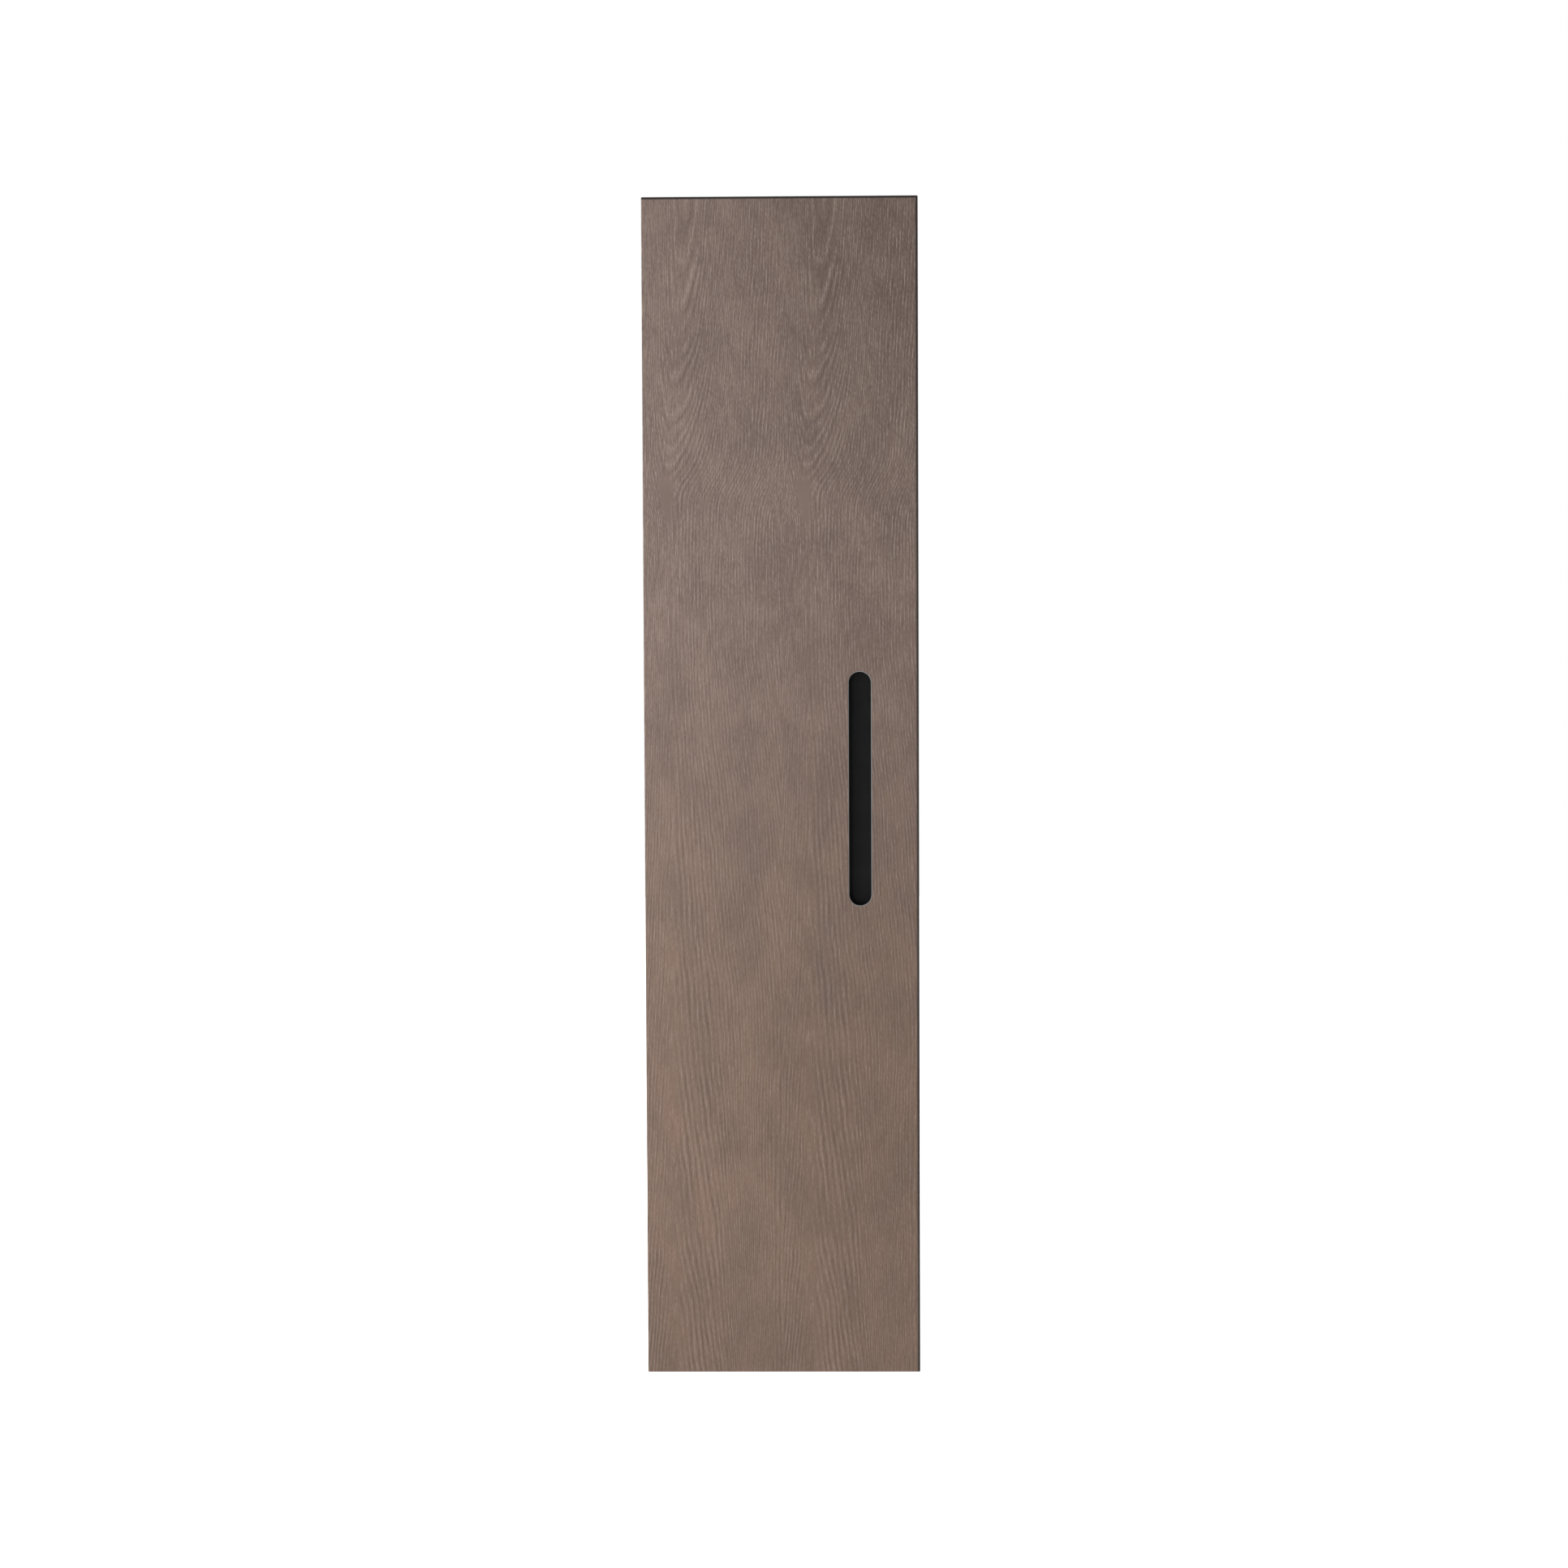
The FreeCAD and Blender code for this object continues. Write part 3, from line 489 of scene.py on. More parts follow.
    def strength(self, ring: Feed, near: Feed) -> Socket:
        """Finds how strongly the lines show: broken by pores, and blurred at the points of the low arches.

        Args:
            ring: How far out from the heart a place lies.
            near: How near the heart is.

        Returns:
            The strength, up to 1.
        """
        own = self.smooth(self.own_noise.read(self, ring, self.along), self.own_edge)
        pores = Drawn(self.given["Pore Width"], self.given["Pore Length"], self.pore_shift, self.pore_detail)
        broken = self.smooth(pores.read(self, self.in_leaf, self.along), self.pore_edge)
        low = self.smooth(self.rise, self.heart_blur)
        at_heart = self.between(low, self.heart_strength, self.faintest)
        shown = self.between(own, self.faintest, 1.0)
        shown = self.times(shown, self.between(broken, self.least_broken, 1.0))
        shown = self.times(shown, self.between(near, self.far_strength, 1.0))
        return self.times(shown, self.between(self.smooth(self.beside, self.heart_side), at_heart, 1.0))

    def flecks(self) -> Socket:
        """Strews fine flecks in long columns and short dashes.

        Returns:
            The flecks, about 0.5 in the middle.
        """
        width = self.given["Fleck Width"]
        columns = Drawn(width, self.given["Fleck Length"], self.column_shift)
        dashes = Drawn(width, self.given["Dash Length"], self.dash_shift)
        falling = self.line(self.in_leaf, self.column_stagger, self.along)
        rising = self.line(self.in_leaf, self.dash_stagger, self.along)
        column = columns.read(self, self.in_leaf, falling)
        return self.between(self.dash_share, column, dashes.read(self, self.in_leaf, rising))


class FineGrain(Effect):
    """Small even grain with larger soft patches, as on plating, mouldings and paint."""

    name = "fine_grain"
    inputs = {"Across": 0.0, "Depth": 0.0, "Along": 0.0, "Grain": 0.4 * MM, "Patch": 20 * MM}
    outputs = ("Grain", "Patches")
    patch_edge = (0.3, 0.7)

    def work(self) -> Feeds:
        """Reads two noises, one fine and one broad.

        Returns:
            The grain and the patches by name.
        """
        axes = [self.given[name] for name in ("Across", "Depth", "Along")]
        fine = self.noise([self.over(axis, self.given["Grain"]) for axis in axes], 2.0, 0.6)
        broad = self.noise([self.over(axis, self.given["Patch"]) for axis in axes], 3.0, 0.55)
        return {"Grain": fine, "Patches": self.smooth(broad, self.patch_edge)}


class Skin(Graph):
    """A material on its way: its nodes, its shader and the places it reads."""

    sockets: ClassVar[dict[str, str]] = {
        "colour": "Base Color",
        "roughness": "Roughness",
        "metallic": "Metallic",
        "specular": "Specular IOR Level",
        "clearness": "Transmission Weight",
        "refraction": "IOR",
        "glow": "Emission Color",
        "glow_strength": "Emission Strength",
    }

    def __init__(self, name: str) -> None:
        """Makes the material with one shader and its coordinates.

        Args:
            name: The material's name.
        """
        self.material = bpy.data.materials.new(name)
        self.material.use_nodes = True
        super().__init__(self.material.node_tree)
        self.tree.nodes.clear()
        self.shader = self.add("ShaderNodeBsdfPrincipled")
        self.add("ShaderNodeOutputMaterial", {"Surface": self.shader.outputs[0]})
        coordinates = self.add("ShaderNodeTexCoord").outputs
        self.place = self.split(coordinates["Object"])
        self.facing = self.split(coordinates["Normal"])

    def set(self, **values: Feed) -> None:
        """Feeds the shader's sockets by their plain names."""
        for name, value in values.items():
            self.feed(self.shader.inputs[self.sockets[name]], value)

    def relief(self, height: Feed, distance: float, strength: float) -> None:
        """Gives the shader a bumpy normal, where a height of 1 stands for a distance in metres."""
        bump = self.add("ShaderNodeBump", {"Strength": strength, "Distance": distance, "Height": height})
        self.feed(self.shader.inputs["Normal"], bump.outputs["Normal"])


@dataclass(frozen=True)
class Finish:
    """A finish that one material shows."""

    name: str

    def paint(self, skin: Skin) -> None:
        """Adds the finish's own nodes to its material."""
        raise NotImplementedError

    def material(self) -> bpy.types.Material:
        """Builds the finish.

        Returns:
            The new material.
        """
        skin = Skin(self.name)
        self.paint(skin)
        return skin.material


class Grain(Enum):
    """Which way a board's grain runs: its across axis, its along axis and its depth axis."""

    DOOR = (0, 2, 1)
    UPRIGHT = (1, 2, 0)
    LEVEL = (1, 0, 2)


@dataclass(frozen=True)
class OakFinish(Finish):
    """Stained oak with open pores under a matt lacquer.

    A pair of strengths holds high up and low down; the dark pores and glints show stronger high up, as
    painted raking light.
    A pair of places is where an effect starts and where it is full.
    """

    grain: Grain
    leaf_width: float
    leaf_start: float
    heart: float = 28 * MM
    plain_place: float = -318 * MM
    # How strongly the painted shade at the upper right and the darker foot show.
    painted_shade_and_foot_share: float = 0.0
    # How strongly the painted shade on the right and top edges of the front shows.
    painted_edge_shade_share: float = 0.0
    board_end: Span = (0.6, 0.8)
    # Where the dark pores and glints fade from strong high up, as painted raking light, to faint low down.
    finer: Span = (-300 * MM, -750 * MM)
    # Painted light: warmer and browner downwards for warm light bounced from the floor, cooler high up for a
    # painted sheen.
    painted_warm_bounce: Span = (-150 * MM, -1150 * MM)
    # Painted shade towards the right, strongest at the top, away from the light on the left; the foot is
    # darker too.
    painted_shade_towards_right: Span = (-190 * MM, 160 * MM)
    painted_shade_towards_top: Span = (-500 * MM, 50 * MM)
    deeper_foot: Span = (-1150 * MM, -1450 * MM)
    foot_depth: float = 0.8
    # Painted shade on the rounded right and top edges of the front, which face away from the light on the
    # left.
    painted_shade_right_edge: Span = (170.6 * MM, 173.4 * MM)
    painted_shade_top_edge: Span = (57.0 * MM, 58.8 * MM)
    front_side: Span = (-0.05, -0.3)
    dark_lines: Span = (0.50, 0.56)
    bright_lines: Span = (0.16, 0.13)
    pits_and_shade: Span = (0.40, 0.24)
    glints: Span = (0.42, 0.20)
    roughness: Span = (0.40, 0.60)
    specular: float = 0.35
    pore_depth: float = 0.10 * MM
    pore_strength: float = 0.5
    shade: Colour = tone(123, 105, 97)
    light: Colour = tone(135, 116, 106)
    # Tones low down, warmed as painted bounce light from the floor.
    low_shade: Colour = tone(119, 97, 83)
    low_light: Colour = tone(130, 105, 89)
    # The dark tone of the painted shade at the upper right and of the darker foot.
    deep: Colour = tone(68, 52, 42)
    # The dark tone of the painted shade on the right and top edges.
    painted_light_edge: Colour = tone(40, 34, 31)
    # Dark tone of the ring lines and pores, and of the painted shade beside the pores.
    dark_pore_and_shade: Colour = tone(80, 66, 60)
    # Pale tone of the bright ring lines and of the painted glints.
    pale_band_and_glint: Colour = tone(180, 166, 158)

    def figure(self, skin: Skin) -> Sockets:
        """Lays the leaves on the board, with the grain turned along the edge on the board's ends.

        Args:
            skin: The material on its way.

        Returns:
            The figure's masks by name.
        """
        across, along, depth = (skin.place[axis] for axis in self.grain.value)
        on_end = skin.smooth(skin.math("ABSOLUTE", skin.facing[self.grain.value[1]]), self.board_end)
        in_leaves = skin.between(on_end, skin.plus(across, depth), depth)
        return OakFigure.place(skin, {
            "Across": skin.minus(in_leaves, self.leaf_start),
            "Along": skin.between(on_end, along, across),
            "Leaf Width": self.leaf_width,
            "Heart": self.heart,
            "Plain Place": self.plain_place,
        })

    def stain(self, skin: Skin, cloud: Feed) -> Socket:
        """Mixes the stain under the figure, with painted warm bounce light downwards, painted shade towards
        the upper right, and darker towards the foot.

        Args:
            skin: The material on its way.
            cloud: The stain's cloudy patches.

        Returns:
            The stain's colour.
        """
        height = skin.place[2]
        # Painted warm bounce light from the floor, growing downwards.
        low = skin.smooth(height, self.painted_warm_bounce)
        # Painted shade towards the upper right, away from the light on the left, and a darker foot.
        right = skin.smooth(skin.place[0], self.painted_shade_towards_right)
        high = skin.plus(skin.smooth(height, self.painted_shade_towards_top), 1.0)
        foot = skin.times(skin.smooth(height, self.deeper_foot), self.foot_depth)
        # How much painted shade at the upper right and darker foot is mixed in.
        depth = skin.most(skin.times(right, high), foot)
        dark = skin.mix(low, self.shade, self.low_shade)
        pale = skin.mix(low, self.light, self.low_light)
        return skin.mix(skin.times(depth, self.painted_shade_and_foot_share), skin.mix(cloud, dark, pale), self.deep)

    def painted_edge_shade(self, skin: Skin) -> Socket:
        """Marks the painted shade on the rounded right and top edges of the front, which face away from the
        light.

        Args:
            skin: The material on its way.

        Returns:
            How much of the painted shade shows.
        """
        right = skin.smooth(skin.place[0], self.painted_shade_right_edge)
        top = skin.smooth(skin.place[2], self.painted_shade_top_edge)
        front = skin.smooth(skin.facing[self.grain.value[2]], self.front_side)
        return skin.times(skin.times(skin.most(right, top), front), self.painted_edge_shade_share)

    def paint(self, skin: Skin) -> None:
        """Lays the figure over the stain and sinks its pores.

        Args:
            skin: The material on its way.
        """
        figure = self.figure(skin)
        # Painted raking light: the dark pores and the glints show strongest high up and fade low down.
        fine = skin.smooth(skin.place[2], self.finer)
        colour = self.stain(skin, figure["Cloud"])
        layers = (
            ("Dark Lines", self.dark_lines, self.dark_pore_and_shade),
            ("Bright Lines", self.bright_lines, self.pale_band_and_glint),
            # Dark pores with painted shade beside them.
            ("Pits And Shade", self.pits_and_shade, self.dark_pore_and_shade),
            # Painted glints: highlights on the pores' edges.
            ("Glints", self.glints, self.pale_band_and_glint),
        )
        for name, strengths, pore in layers:
            colour = skin.mix(skin.times(figure[name], skin.between(fine, *strengths)), colour, pore)
        # Paints shade on the front's right and top edges.
        colour = skin.mix(self.painted_edge_shade(skin), colour, self.painted_light_edge)
        hollow = skin.most(figure["Dark Lines"], figure["Pits And Shade"])
        skin.set(colour=colour, roughness=skin.between(hollow, *self.roughness), specular=self.specular)
        skin.relief(skin.minus(1.0, hollow), self.pore_depth, self.pore_strength)


@dataclass(frozen=True)
class GrainedFinish(Finish):
    """An even surface with a fine grain and soft patches, such as a moulding or pressed powder."""

    colour: Colour
    cloud: Colour
    roughness: Span
    grain: float = 0.35 * MM
    patch: float = 25 * MM
    squeeze: float = 1.0
    gloss_mask: str = "Grain"
    specular: float = 0.4
    metallic: float = 0.0
    bump: float = 0.03 * MM
    bump_strength: float = 0.5

    def coloured(self, skin: Skin, texture: Sockets) -> Socket:
        """Mixes the two colours by the patches."""
        return skin.mix(texture["Patches"], self.colour, self.cloud)

    def paint(self, skin: Skin) -> None:
        """Lays colour, gloss and relief by the grain and its patches.

        Args:
            skin: The material on its way.
        """
        x, y, z = skin.place
        texture = FineGrain.place(skin, {"Across": skin.times(x, self.squeeze), "Depth": y, "Along": z,
                                         "Grain": self.grain, "Patch": self.patch})
        skin.set(colour=self.coloured(skin, texture), specular=self.specular, metallic=self.metallic,
                 roughness=skin.between(texture[self.gloss_mask], *self.roughness))
        skin.relief(texture["Grain"], self.bump, self.bump_strength)


@dataclass(frozen=True)
class MetalFinish(GrainedFinish):
    """Plated, rolled or cast metal."""

    grain: float = 0.3 * MM
    patch: float = 8 * MM
    specular: float = 0.5
    metallic: float = 0.7
    bump: float = 0.02 * MM


@dataclass(frozen=True)
class BoardFinish(GrainedFinish):
    """Smooth wood or printed board with a faint upright fibre."""

    roughness: Span = (0.5, 0.65)
    grain: float = 1.2 * MM
    patch: float = 60 * MM
    squeeze: float = 3.0
    specular: float = 0.3
    bump: float = 0.05 * MM
    bump_strength: float = 0.4
    mottle: float = 0.4

    def coloured(self, skin: Skin, texture: Sockets) -> Socket:
        """Mixes the two colours by the grain and the patches together."""
        share = skin.times(skin.plus(texture["Grain"], texture["Patches"]), self.mottle)
        return skin.mix(share, self.colour, self.cloud)


@dataclass(frozen=True)
class HandleFinish(GrainedFinish):
    """Satin black paint with a painted highlight on the front edge of the collar, but not on its left side,
    which faces away from the light on the left.
    """

    colour: Colour = tone(25, 25, 25)
    cloud: Colour = tone(29, 29, 29)
    roughness: Span = (0.42, 0.55)
    patch: float = 30 * MM
    specular: float = 0.1
    bump: float = 0.02 * MM
    bump_strength: float = 0.4
    # The tone of the painted highlight on the collar's front edge.
    painted_light_edge: Colour = tone(128, 130, 130)
    painted_highlight_front: float = 0.0
    painted_highlight_depth: Span = (0.4 * MM, 0.2 * MM)
    painted_highlight_side: Span = (0.35, 0.0)

    def coloured(self, skin: Skin, texture: Sockets) -> Socket:
        """Paints a highlight on the collar's front edge.

        Args:
            skin: The material on its way.
            texture: The grain and its patches.

        Returns:
            The colour.
        """
        # Painted highlight: bright at the front of the collar, except where its edge faces right, away from
        # the light.
        front = skin.smooth(skin.minus(skin.place[1], self.painted_highlight_front), self.painted_highlight_depth)
        bright = skin.times(front, skin.smooth(skin.facing[0], self.painted_highlight_side))
        return skin.mix(bright, super().coloured(skin, texture), self.painted_light_edge)


@dataclass(frozen=True)
class RubberFinish(GrainedFinish):
    """Clear soft rubber with a slightly clouded body."""

    colour: Colour = tone(236, 236, 230)
    cloud: Colour = tone(204, 206, 205)
    roughness: Span = (0.2, 0.35)
    grain: float = 0.5 * MM
    patch: float = 4 * MM
    gloss_mask: str = "Patches"
    specular: float = 0.5
    bump: float = 0.02 * MM
    bump_strength: float = 0.3
    clearness: float = 0.8
    refraction: float = 1.45

    def paint(self, skin: Skin) -> None:
        """Makes the clouded surface clear."""
        super().paint(skin)
        skin.set(clearness=self.clearness, refraction=self.refraction)


class Finishes:
    """Every finish of the cabinet, each built once."""

    def __init__(self) -> None:
        """Builds the materials by the names of the record's slots, and one more for the upright sides."""
        low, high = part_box("door_panel")
        finishes = {
            # Only the door gets painted shade at its upper right and on its right and top edges, and the
            # darker foot.
            "oak_veneer": OakFinish("oak_veneer", Grain.DOOR, leaf_width=(high.x - low.x) / 2,
                                    leaf_start=low.x + low.y, painted_shade_and_foot_share=0.24, painted_edge_shade_share=1.0),
            "upright": OakFinish("oak_foil_upright", Grain.UPRIGHT, leaf_width=300 * MM,
                                 leaf_start=-480 * MM, heart=105 * MM, plain_place=-900 * MM),
            "oak_foil": OakFinish("oak_foil_level", Grain.LEVEL, leaf_width=420 * MM,
                                  leaf_start=-1900 * MM, heart=150 * MM, plain_place=-500 * MM),
        }
        others = (
            BoardFinish("back_board", tone(122, 110, 103), tone(140, 126, 118)),
            BoardFinish("beech", tone(196, 158, 120), tone(214, 178, 140)),
            # The painted highlight starts at the collar's front.
            HandleFinish("black_handle", painted_highlight_front=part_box("handle_collar")[0].y),
            MetalFinish("black_screws", tone(40, 40, 42), tone(58, 58, 60), (0.35, 0.5)),
            MetalFinish("nickel_steel", tone(214, 211, 205), tone(200, 197, 191), (0.22, 0.36)),
            MetalFinish("bright_steel", tone(198, 198, 200), tone(180, 180, 184), (0.2, 0.35)),
            MetalFinish("zinc_steel", tone(186, 189, 192), tone(160, 164, 168), (0.3, 0.5), patch=5 * MM),
            MetalFinish("zinc_casting", tone(160, 162, 165), tone(138, 140, 144), (0.4, 0.6),
                        grain=0.5 * MM, bump=0.06 * MM),
            GrainedFinish("grey_plastic", tone(172, 172, 170), tone(162, 162, 160), (0.4, 0.55)),
            GrainedFinish("ferrite", tone(52, 50, 50), tone(66, 64, 63), (0.5, 0.7), bump=0.08 * MM),
            RubberFinish("clear_rubber"),
        )
        finishes.update({finish.name: finish for finish in others})
        self.by_slot = {slot: finish.material() for slot, finish in finishes.items()}
        self.slots = {name: item.material_slots[0].material.name for name, item in frame["nodes"].items()}

    def dress(self, node: str) -> None:
        """Puts the finish of its slot on a node of the frame, with the grain upright on the sides.

        Args:
            node: The node's name.
        """
        slot = "upright" if node.endswith("side_panel") else self.slots[node]
        frame["nodes"][node].material_slots[0].material = self.by_slot[slot]
        LOG.info("dressed %s", node)


class Axis(Enum):
    """The main directions of the frame."""

    ACROSS = 0
    DEPTH = 1
    UP = 2


class Facing(Enum):
    """How the outer end of a fastener is told from its inner end."""

    RECESSED = "the end with a recess, which has more corners"
    INWARD = "the end nearer to the middle of the cabinet"
    BACK = "the end nearer to the wall"


@dataclass(frozen=True)
class Seat:
    """Where one fastener lies: the middle of its outer end, its directions and its own sizes."""

    end: Vector
    out: Vector
    up: Vector
    length: float
    width: float
    head: float
    shank: float

    @classmethod
    def find(cls, corners: Sequence[Vector], axis: Axis, facing: Facing) -> "Seat":
        """Reads a seat from the corners of a fastener's solid.

        Args:
            corners: The solid's corners.
            axis: The direction that it is driven along.
            facing: How its outer end is told.

        Returns:
            The seat.
        """
        number = axis.value
        places = [corner[number] for corner in corners]
        low, high = min(places), max(places)
        top = [corner for corner in corners if high - corner[number] < TOUCH]
        foot = [corner for corner in corners if corner[number] - low < TOUCH]
        choices = {Facing.RECESSED: len(top) > len(foot), Facing.INWARD: low + high < 0, Facing.BACK: True}
        outward_up = choices[facing]
        inner = foot if outward_up else top
        end = Vector([(min(values) + max(values)) / 2 for values in zip(*inner)])
        end[number] = high if outward_up else low
        out = Vector((0.0, 0.0, 0.0))
        out[number] = 1.0 if outward_up else -1.0
        up = Vector((0.0, 0.0, 1.0))
        if axis is Axis.UP:
            up = Vector((math.copysign(1.0, end.x), 0.0, 0.0))
        radii = [cls.off_axis(corner - end, out) for corner in corners]
        widest = max(radii)
        heads = [abs(place - end[number]) for place, radius in zip(places, radii) if widest - radius < TOUCH]
        shank = max(cls.off_axis(corner - end, out) for corner in inner)
        return cls(end, out, up, high - low, 2 * widest, min(heads), 2 * shank)

    @staticmethod
    def off_axis(place: Vector, out: Vector) -> float:
        """Measures how far a place lies from the line along a direction."""
        return (place - out * place.dot(out)).length


def loose_solids(node: str) -> list[list[Vector]]:
    """Parts a node's mesh into its separate solids.

    Args:
        node: The node's name.

    Returns:
        The corners of each solid.
    """
    shape = bmesh.new()
    shape.from_mesh(frame["nodes"][node].data)
    bmesh.ops.remove_doubles(shape, verts=shape.verts, dist=TOUCH / 10)
    solids = []
    for first in shape.verts:
        if first.tag:
            continue
        first.tag = True
        waiting, corners = [first], []
        while waiting:
            corner = waiting.pop()
            corners.append(corner.co.copy())
            for edge in corner.link_edges:
                other = edge.other_vert(corner)
                if not other.tag:
                    other.tag = True
                    waiting.append(other)
        solids.append(corners)
    shape.free()
    return solids


class Fitting(Graph):
    """A geometry tree that makes one fastener, its outer end at the origin, and puts copies on seats."""

    name: ClassVar[str] = ""
    sizes: ClassVar[dict[str, float]] = {}
    sides: ClassVar[int] = 32
    thread_rings: ClassVar[int] = 64
    thread_sides: ClassVar[int] = 16
    thread_root: ClassVar[float] = 0.72
    tip_width: ClassVar[float] = 0.15
    blade_width: ClassVar[float] = 0.28
    crease: ClassVar[float] = math.radians(40)

    def __init__(self) -> None:
        """Makes the tree with its sockets and nodes."""
        super().__init__(bpy.data.node_groups.new(self.name, "GeometryNodeTree"))
        self.offer("INPUT", "Geometry", {"Seats": None})
        self.offer("INPUT", "Material", {"Finish": None})
        self.offer("INPUT", "Float", self.sizes)
        self.offer("OUTPUT", "Geometry", {"Fasteners": None})
        self.given = self.add("NodeGroupInput").outputs
        turn = self.add("FunctionNodeAxesToRotation", primary_axis="Z", secondary_axis="Y")
        for socket, name in zip(turn.inputs, ("out", "up")):
            kept = self.add("GeometryNodeInputNamedAttribute", {"Name": name}, data_type="FLOAT_VECTOR")
            self.feed(socket, kept.outputs["Attribute"])
        copies = self.add("GeometryNodeInstanceOnPoints", {
            "Points": self.given["Seats"], "Instance": self.shape(), "Rotation": turn.outputs[0]})
        whole = self.add("GeometryNodeRealizeInstances", {"Geometry": copies.outputs[0]})
        painted = self.add("GeometryNodeSetMaterial", {
            "Geometry": self.shaded(whole.outputs[0]), "Material": self.given["Finish"]})
        self.add("NodeGroupOutput", {"Fasteners": painted.outputs[0]})

    @classmethod
    def group(cls) -> bpy.types.NodeTree:
        """Gives the tree, and makes it the first time."""
        return bpy.data.node_groups.get(cls.name) or cls().tree

    def shape(self) -> Socket:
        """Makes one fastener from the tree's sizes."""
        raise NotImplementedError

    def half(self, size: Feed) -> Socket:
        """Halves a size."""
        return self.times(size, 0.5)

    def below(self, depth: Feed) -> Socket:
        """Gives the height of what lies at a depth below the outer end."""
        return self.times(depth, -1.0)

    def corner(self) -> Sockets:
        """Gives the three coordinates of each corner."""
        return self.split(self.add("GeometryNodeInputPosition").outputs[0])

    def pick(self, number: Feed, values: Sequence[Feed]) -> Socket:
        """Picks one of several values.

        Args:
            number: Which one.
            values: The values.

        Returns:
            The value picked.
        """
        node = self.add("GeometryNodeIndexSwitch", data_type="FLOAT")
        while len(node.index_switch_items) < len(values):
            node.index_switch_items.new()
        for socket, value in zip(node.inputs, (number, *values)):
            self.feed(socket, value)
        return node.outputs[0]

    def rings(self, count: int, sides: int) -> tuple[Socket, ...]:
        """Makes a plain closed tube of rings.

        Args:
            count: How many rings it has.
            sides: How many sides each ring has.

        Returns:
            The tube, and the ring's number and the two shares of its radius at each corner.
        """
        sizes = {"Vertices": sides, "Side Segments": count - 1, "Radius": 1.0, "Depth": count - 1}
        tube = self.add("GeometryNodeMeshCylinder", sizes, fill_type="NGON")
        x, y, z = self.corner()
        return tube.outputs["Mesh"], self.math("ROUND", self.plus(z, (count - 1) / 2)), x, y

    def moved(self, solid: Feed, x: Feed, y: Feed, z: Feed) -> Socket:
        """Moves a solid's corners to new places."""
        inputs = {"Geometry": solid, "Position": self.point(x, y, z)}
        return self.add("GeometryNodeSetPosition", inputs).outputs[0]

    def turned(self, profile: Sequence[tuple[Feed, Feed]]) -> Socket:
        """Turns a solid about its upright axis.

        Args:
            profile: Height and radius of each ring, from the foot up.

        Returns:
            The closed solid.
        """
        tube, number, x, y = self.rings(len(profile), self.sides)
        height, radius = (self.pick(number, column) for column in zip(*profile))
        return self.moved(tube, self.times(x, radius), self.times(y, radius), height)

    def domed(self, shares: Sequence[Span], depth: Feed, width: Feed) -> Socket:
        """Turns a solid from a profile of shares.

        Args:
            shares: Each ring's height, 0 at the foot and 1 at the outer end, and its share of the radius.
            depth: How deep the foot lies.
            width: The full width.

        Returns:
            The closed solid.
        """
        foot = self.below(depth)
        radius = self.half(width)
        return self.turned([(self.between(up, foot, 0.0), self.times(radius, wide)) for up, wide in shares])

    def chamfered(self, length: Feed, radius: Feed, chamfer: Feed) -> Socket:
        """Turns a rod with chamfered ends.

        Args:
            length: Its length.
            radius: Its radius.
            chamfer: The size of its chamfers.

        Returns:
            The closed solid.
        """
        slim = self.minus(radius, chamfer)
        foot = self.below(length)
        shoulders = [(self.plus(foot, chamfer), radius), (self.below(chamfer), radius)]
        return self.turned([(foot, slim), *shoulders, (0.0, slim)])

    def threaded(self, foot: Feed, top: Feed, width: Feed) -> Socket:
        """Turns a threaded rod with a pointed foot.

        Args:
            foot: The height of its foot.
            top: The height of its top.
            width: Its width over the thread.

        Returns:
            The closed solid.
        """
        tube, number, x, y = self.rings(self.thread_rings, self.thread_sides)
        height = self.between(self.over(number, self.thread_rings - 1.0), foot, top)
        angle = self.over(self.math("ARCTAN2", y, x), math.tau)
        climb = self.minus(self.over(height, self.given["Pitch"]), angle)
        crest = self.math("POWER", self.times(self.math("PINGPONG", climb, 0.5), 2.0), 2.0)
        point = self.math("DIVIDE", self.minus(height, foot), self.given["Tip"], clamp=True)
        ridge = self.between(crest, self.thread_root, 1.0)
        reach = self.times(ridge, self.between(point, self.tip_width, 1.0))
        radius = self.times(self.half(width), reach)
        return self.moved(tube, self.times(x, radius), self.times(y, radius), height)

    def block(self, size: Sequence[Feed], place: Sequence[Feed]) -> Socket:
        """Makes a block.

        Args:
            size: Its three sizes.
            place: Its middle.

        Returns:
            The block.
        """
        cube = self.add("GeometryNodeMeshCube", {"Size": self.point(*size)})
        inputs = {"Geometry": cube.outputs["Mesh"], "Translation": self.point(*place)}
        return self.add("GeometryNodeTransform", inputs).outputs[0]

    def cross(self) -> list[Socket]:
        """Makes the two blades of a driver that reaches down from the outer end.

        Returns:
            The blades.
        """
        width = self.given["Recess Width"]
        thin = self.times(width, self.blade_width)
        tall = self.times(self.given["Recess Depth"], 2.0)
        return [self.block(size, (0.0, 0.0, 0.0)) for size in ((width, thin, tall), (thin, width, tall))]

    def cut(self, solid: Feed, tools: Sequence[Socket]) -> Socket:
        """Cuts tools out of a solid, one after the other.

        Args:
            solid: The solid.
            tools: The tools.

        Returns:
            What is left of the solid.
        """
        for tool in tools:
            pair = {"Mesh 1": solid, "Mesh 2": tool}
            node = self.add("GeometryNodeMeshBoolean", pair, operation="DIFFERENCE", solver="EXACT")
            solid = node.outputs["Mesh"]
        return solid

    def joined(self, *solids: Socket) -> Socket:
        """Puts solids together.

        Args:
            *solids: The solids.

        Returns:
            All of them as one.
        """
        node = self.add("GeometryNodeJoinGeometry")
        for solid in reversed(solids):
            self.feed(node.inputs[0], solid)
        return node.outputs[0]

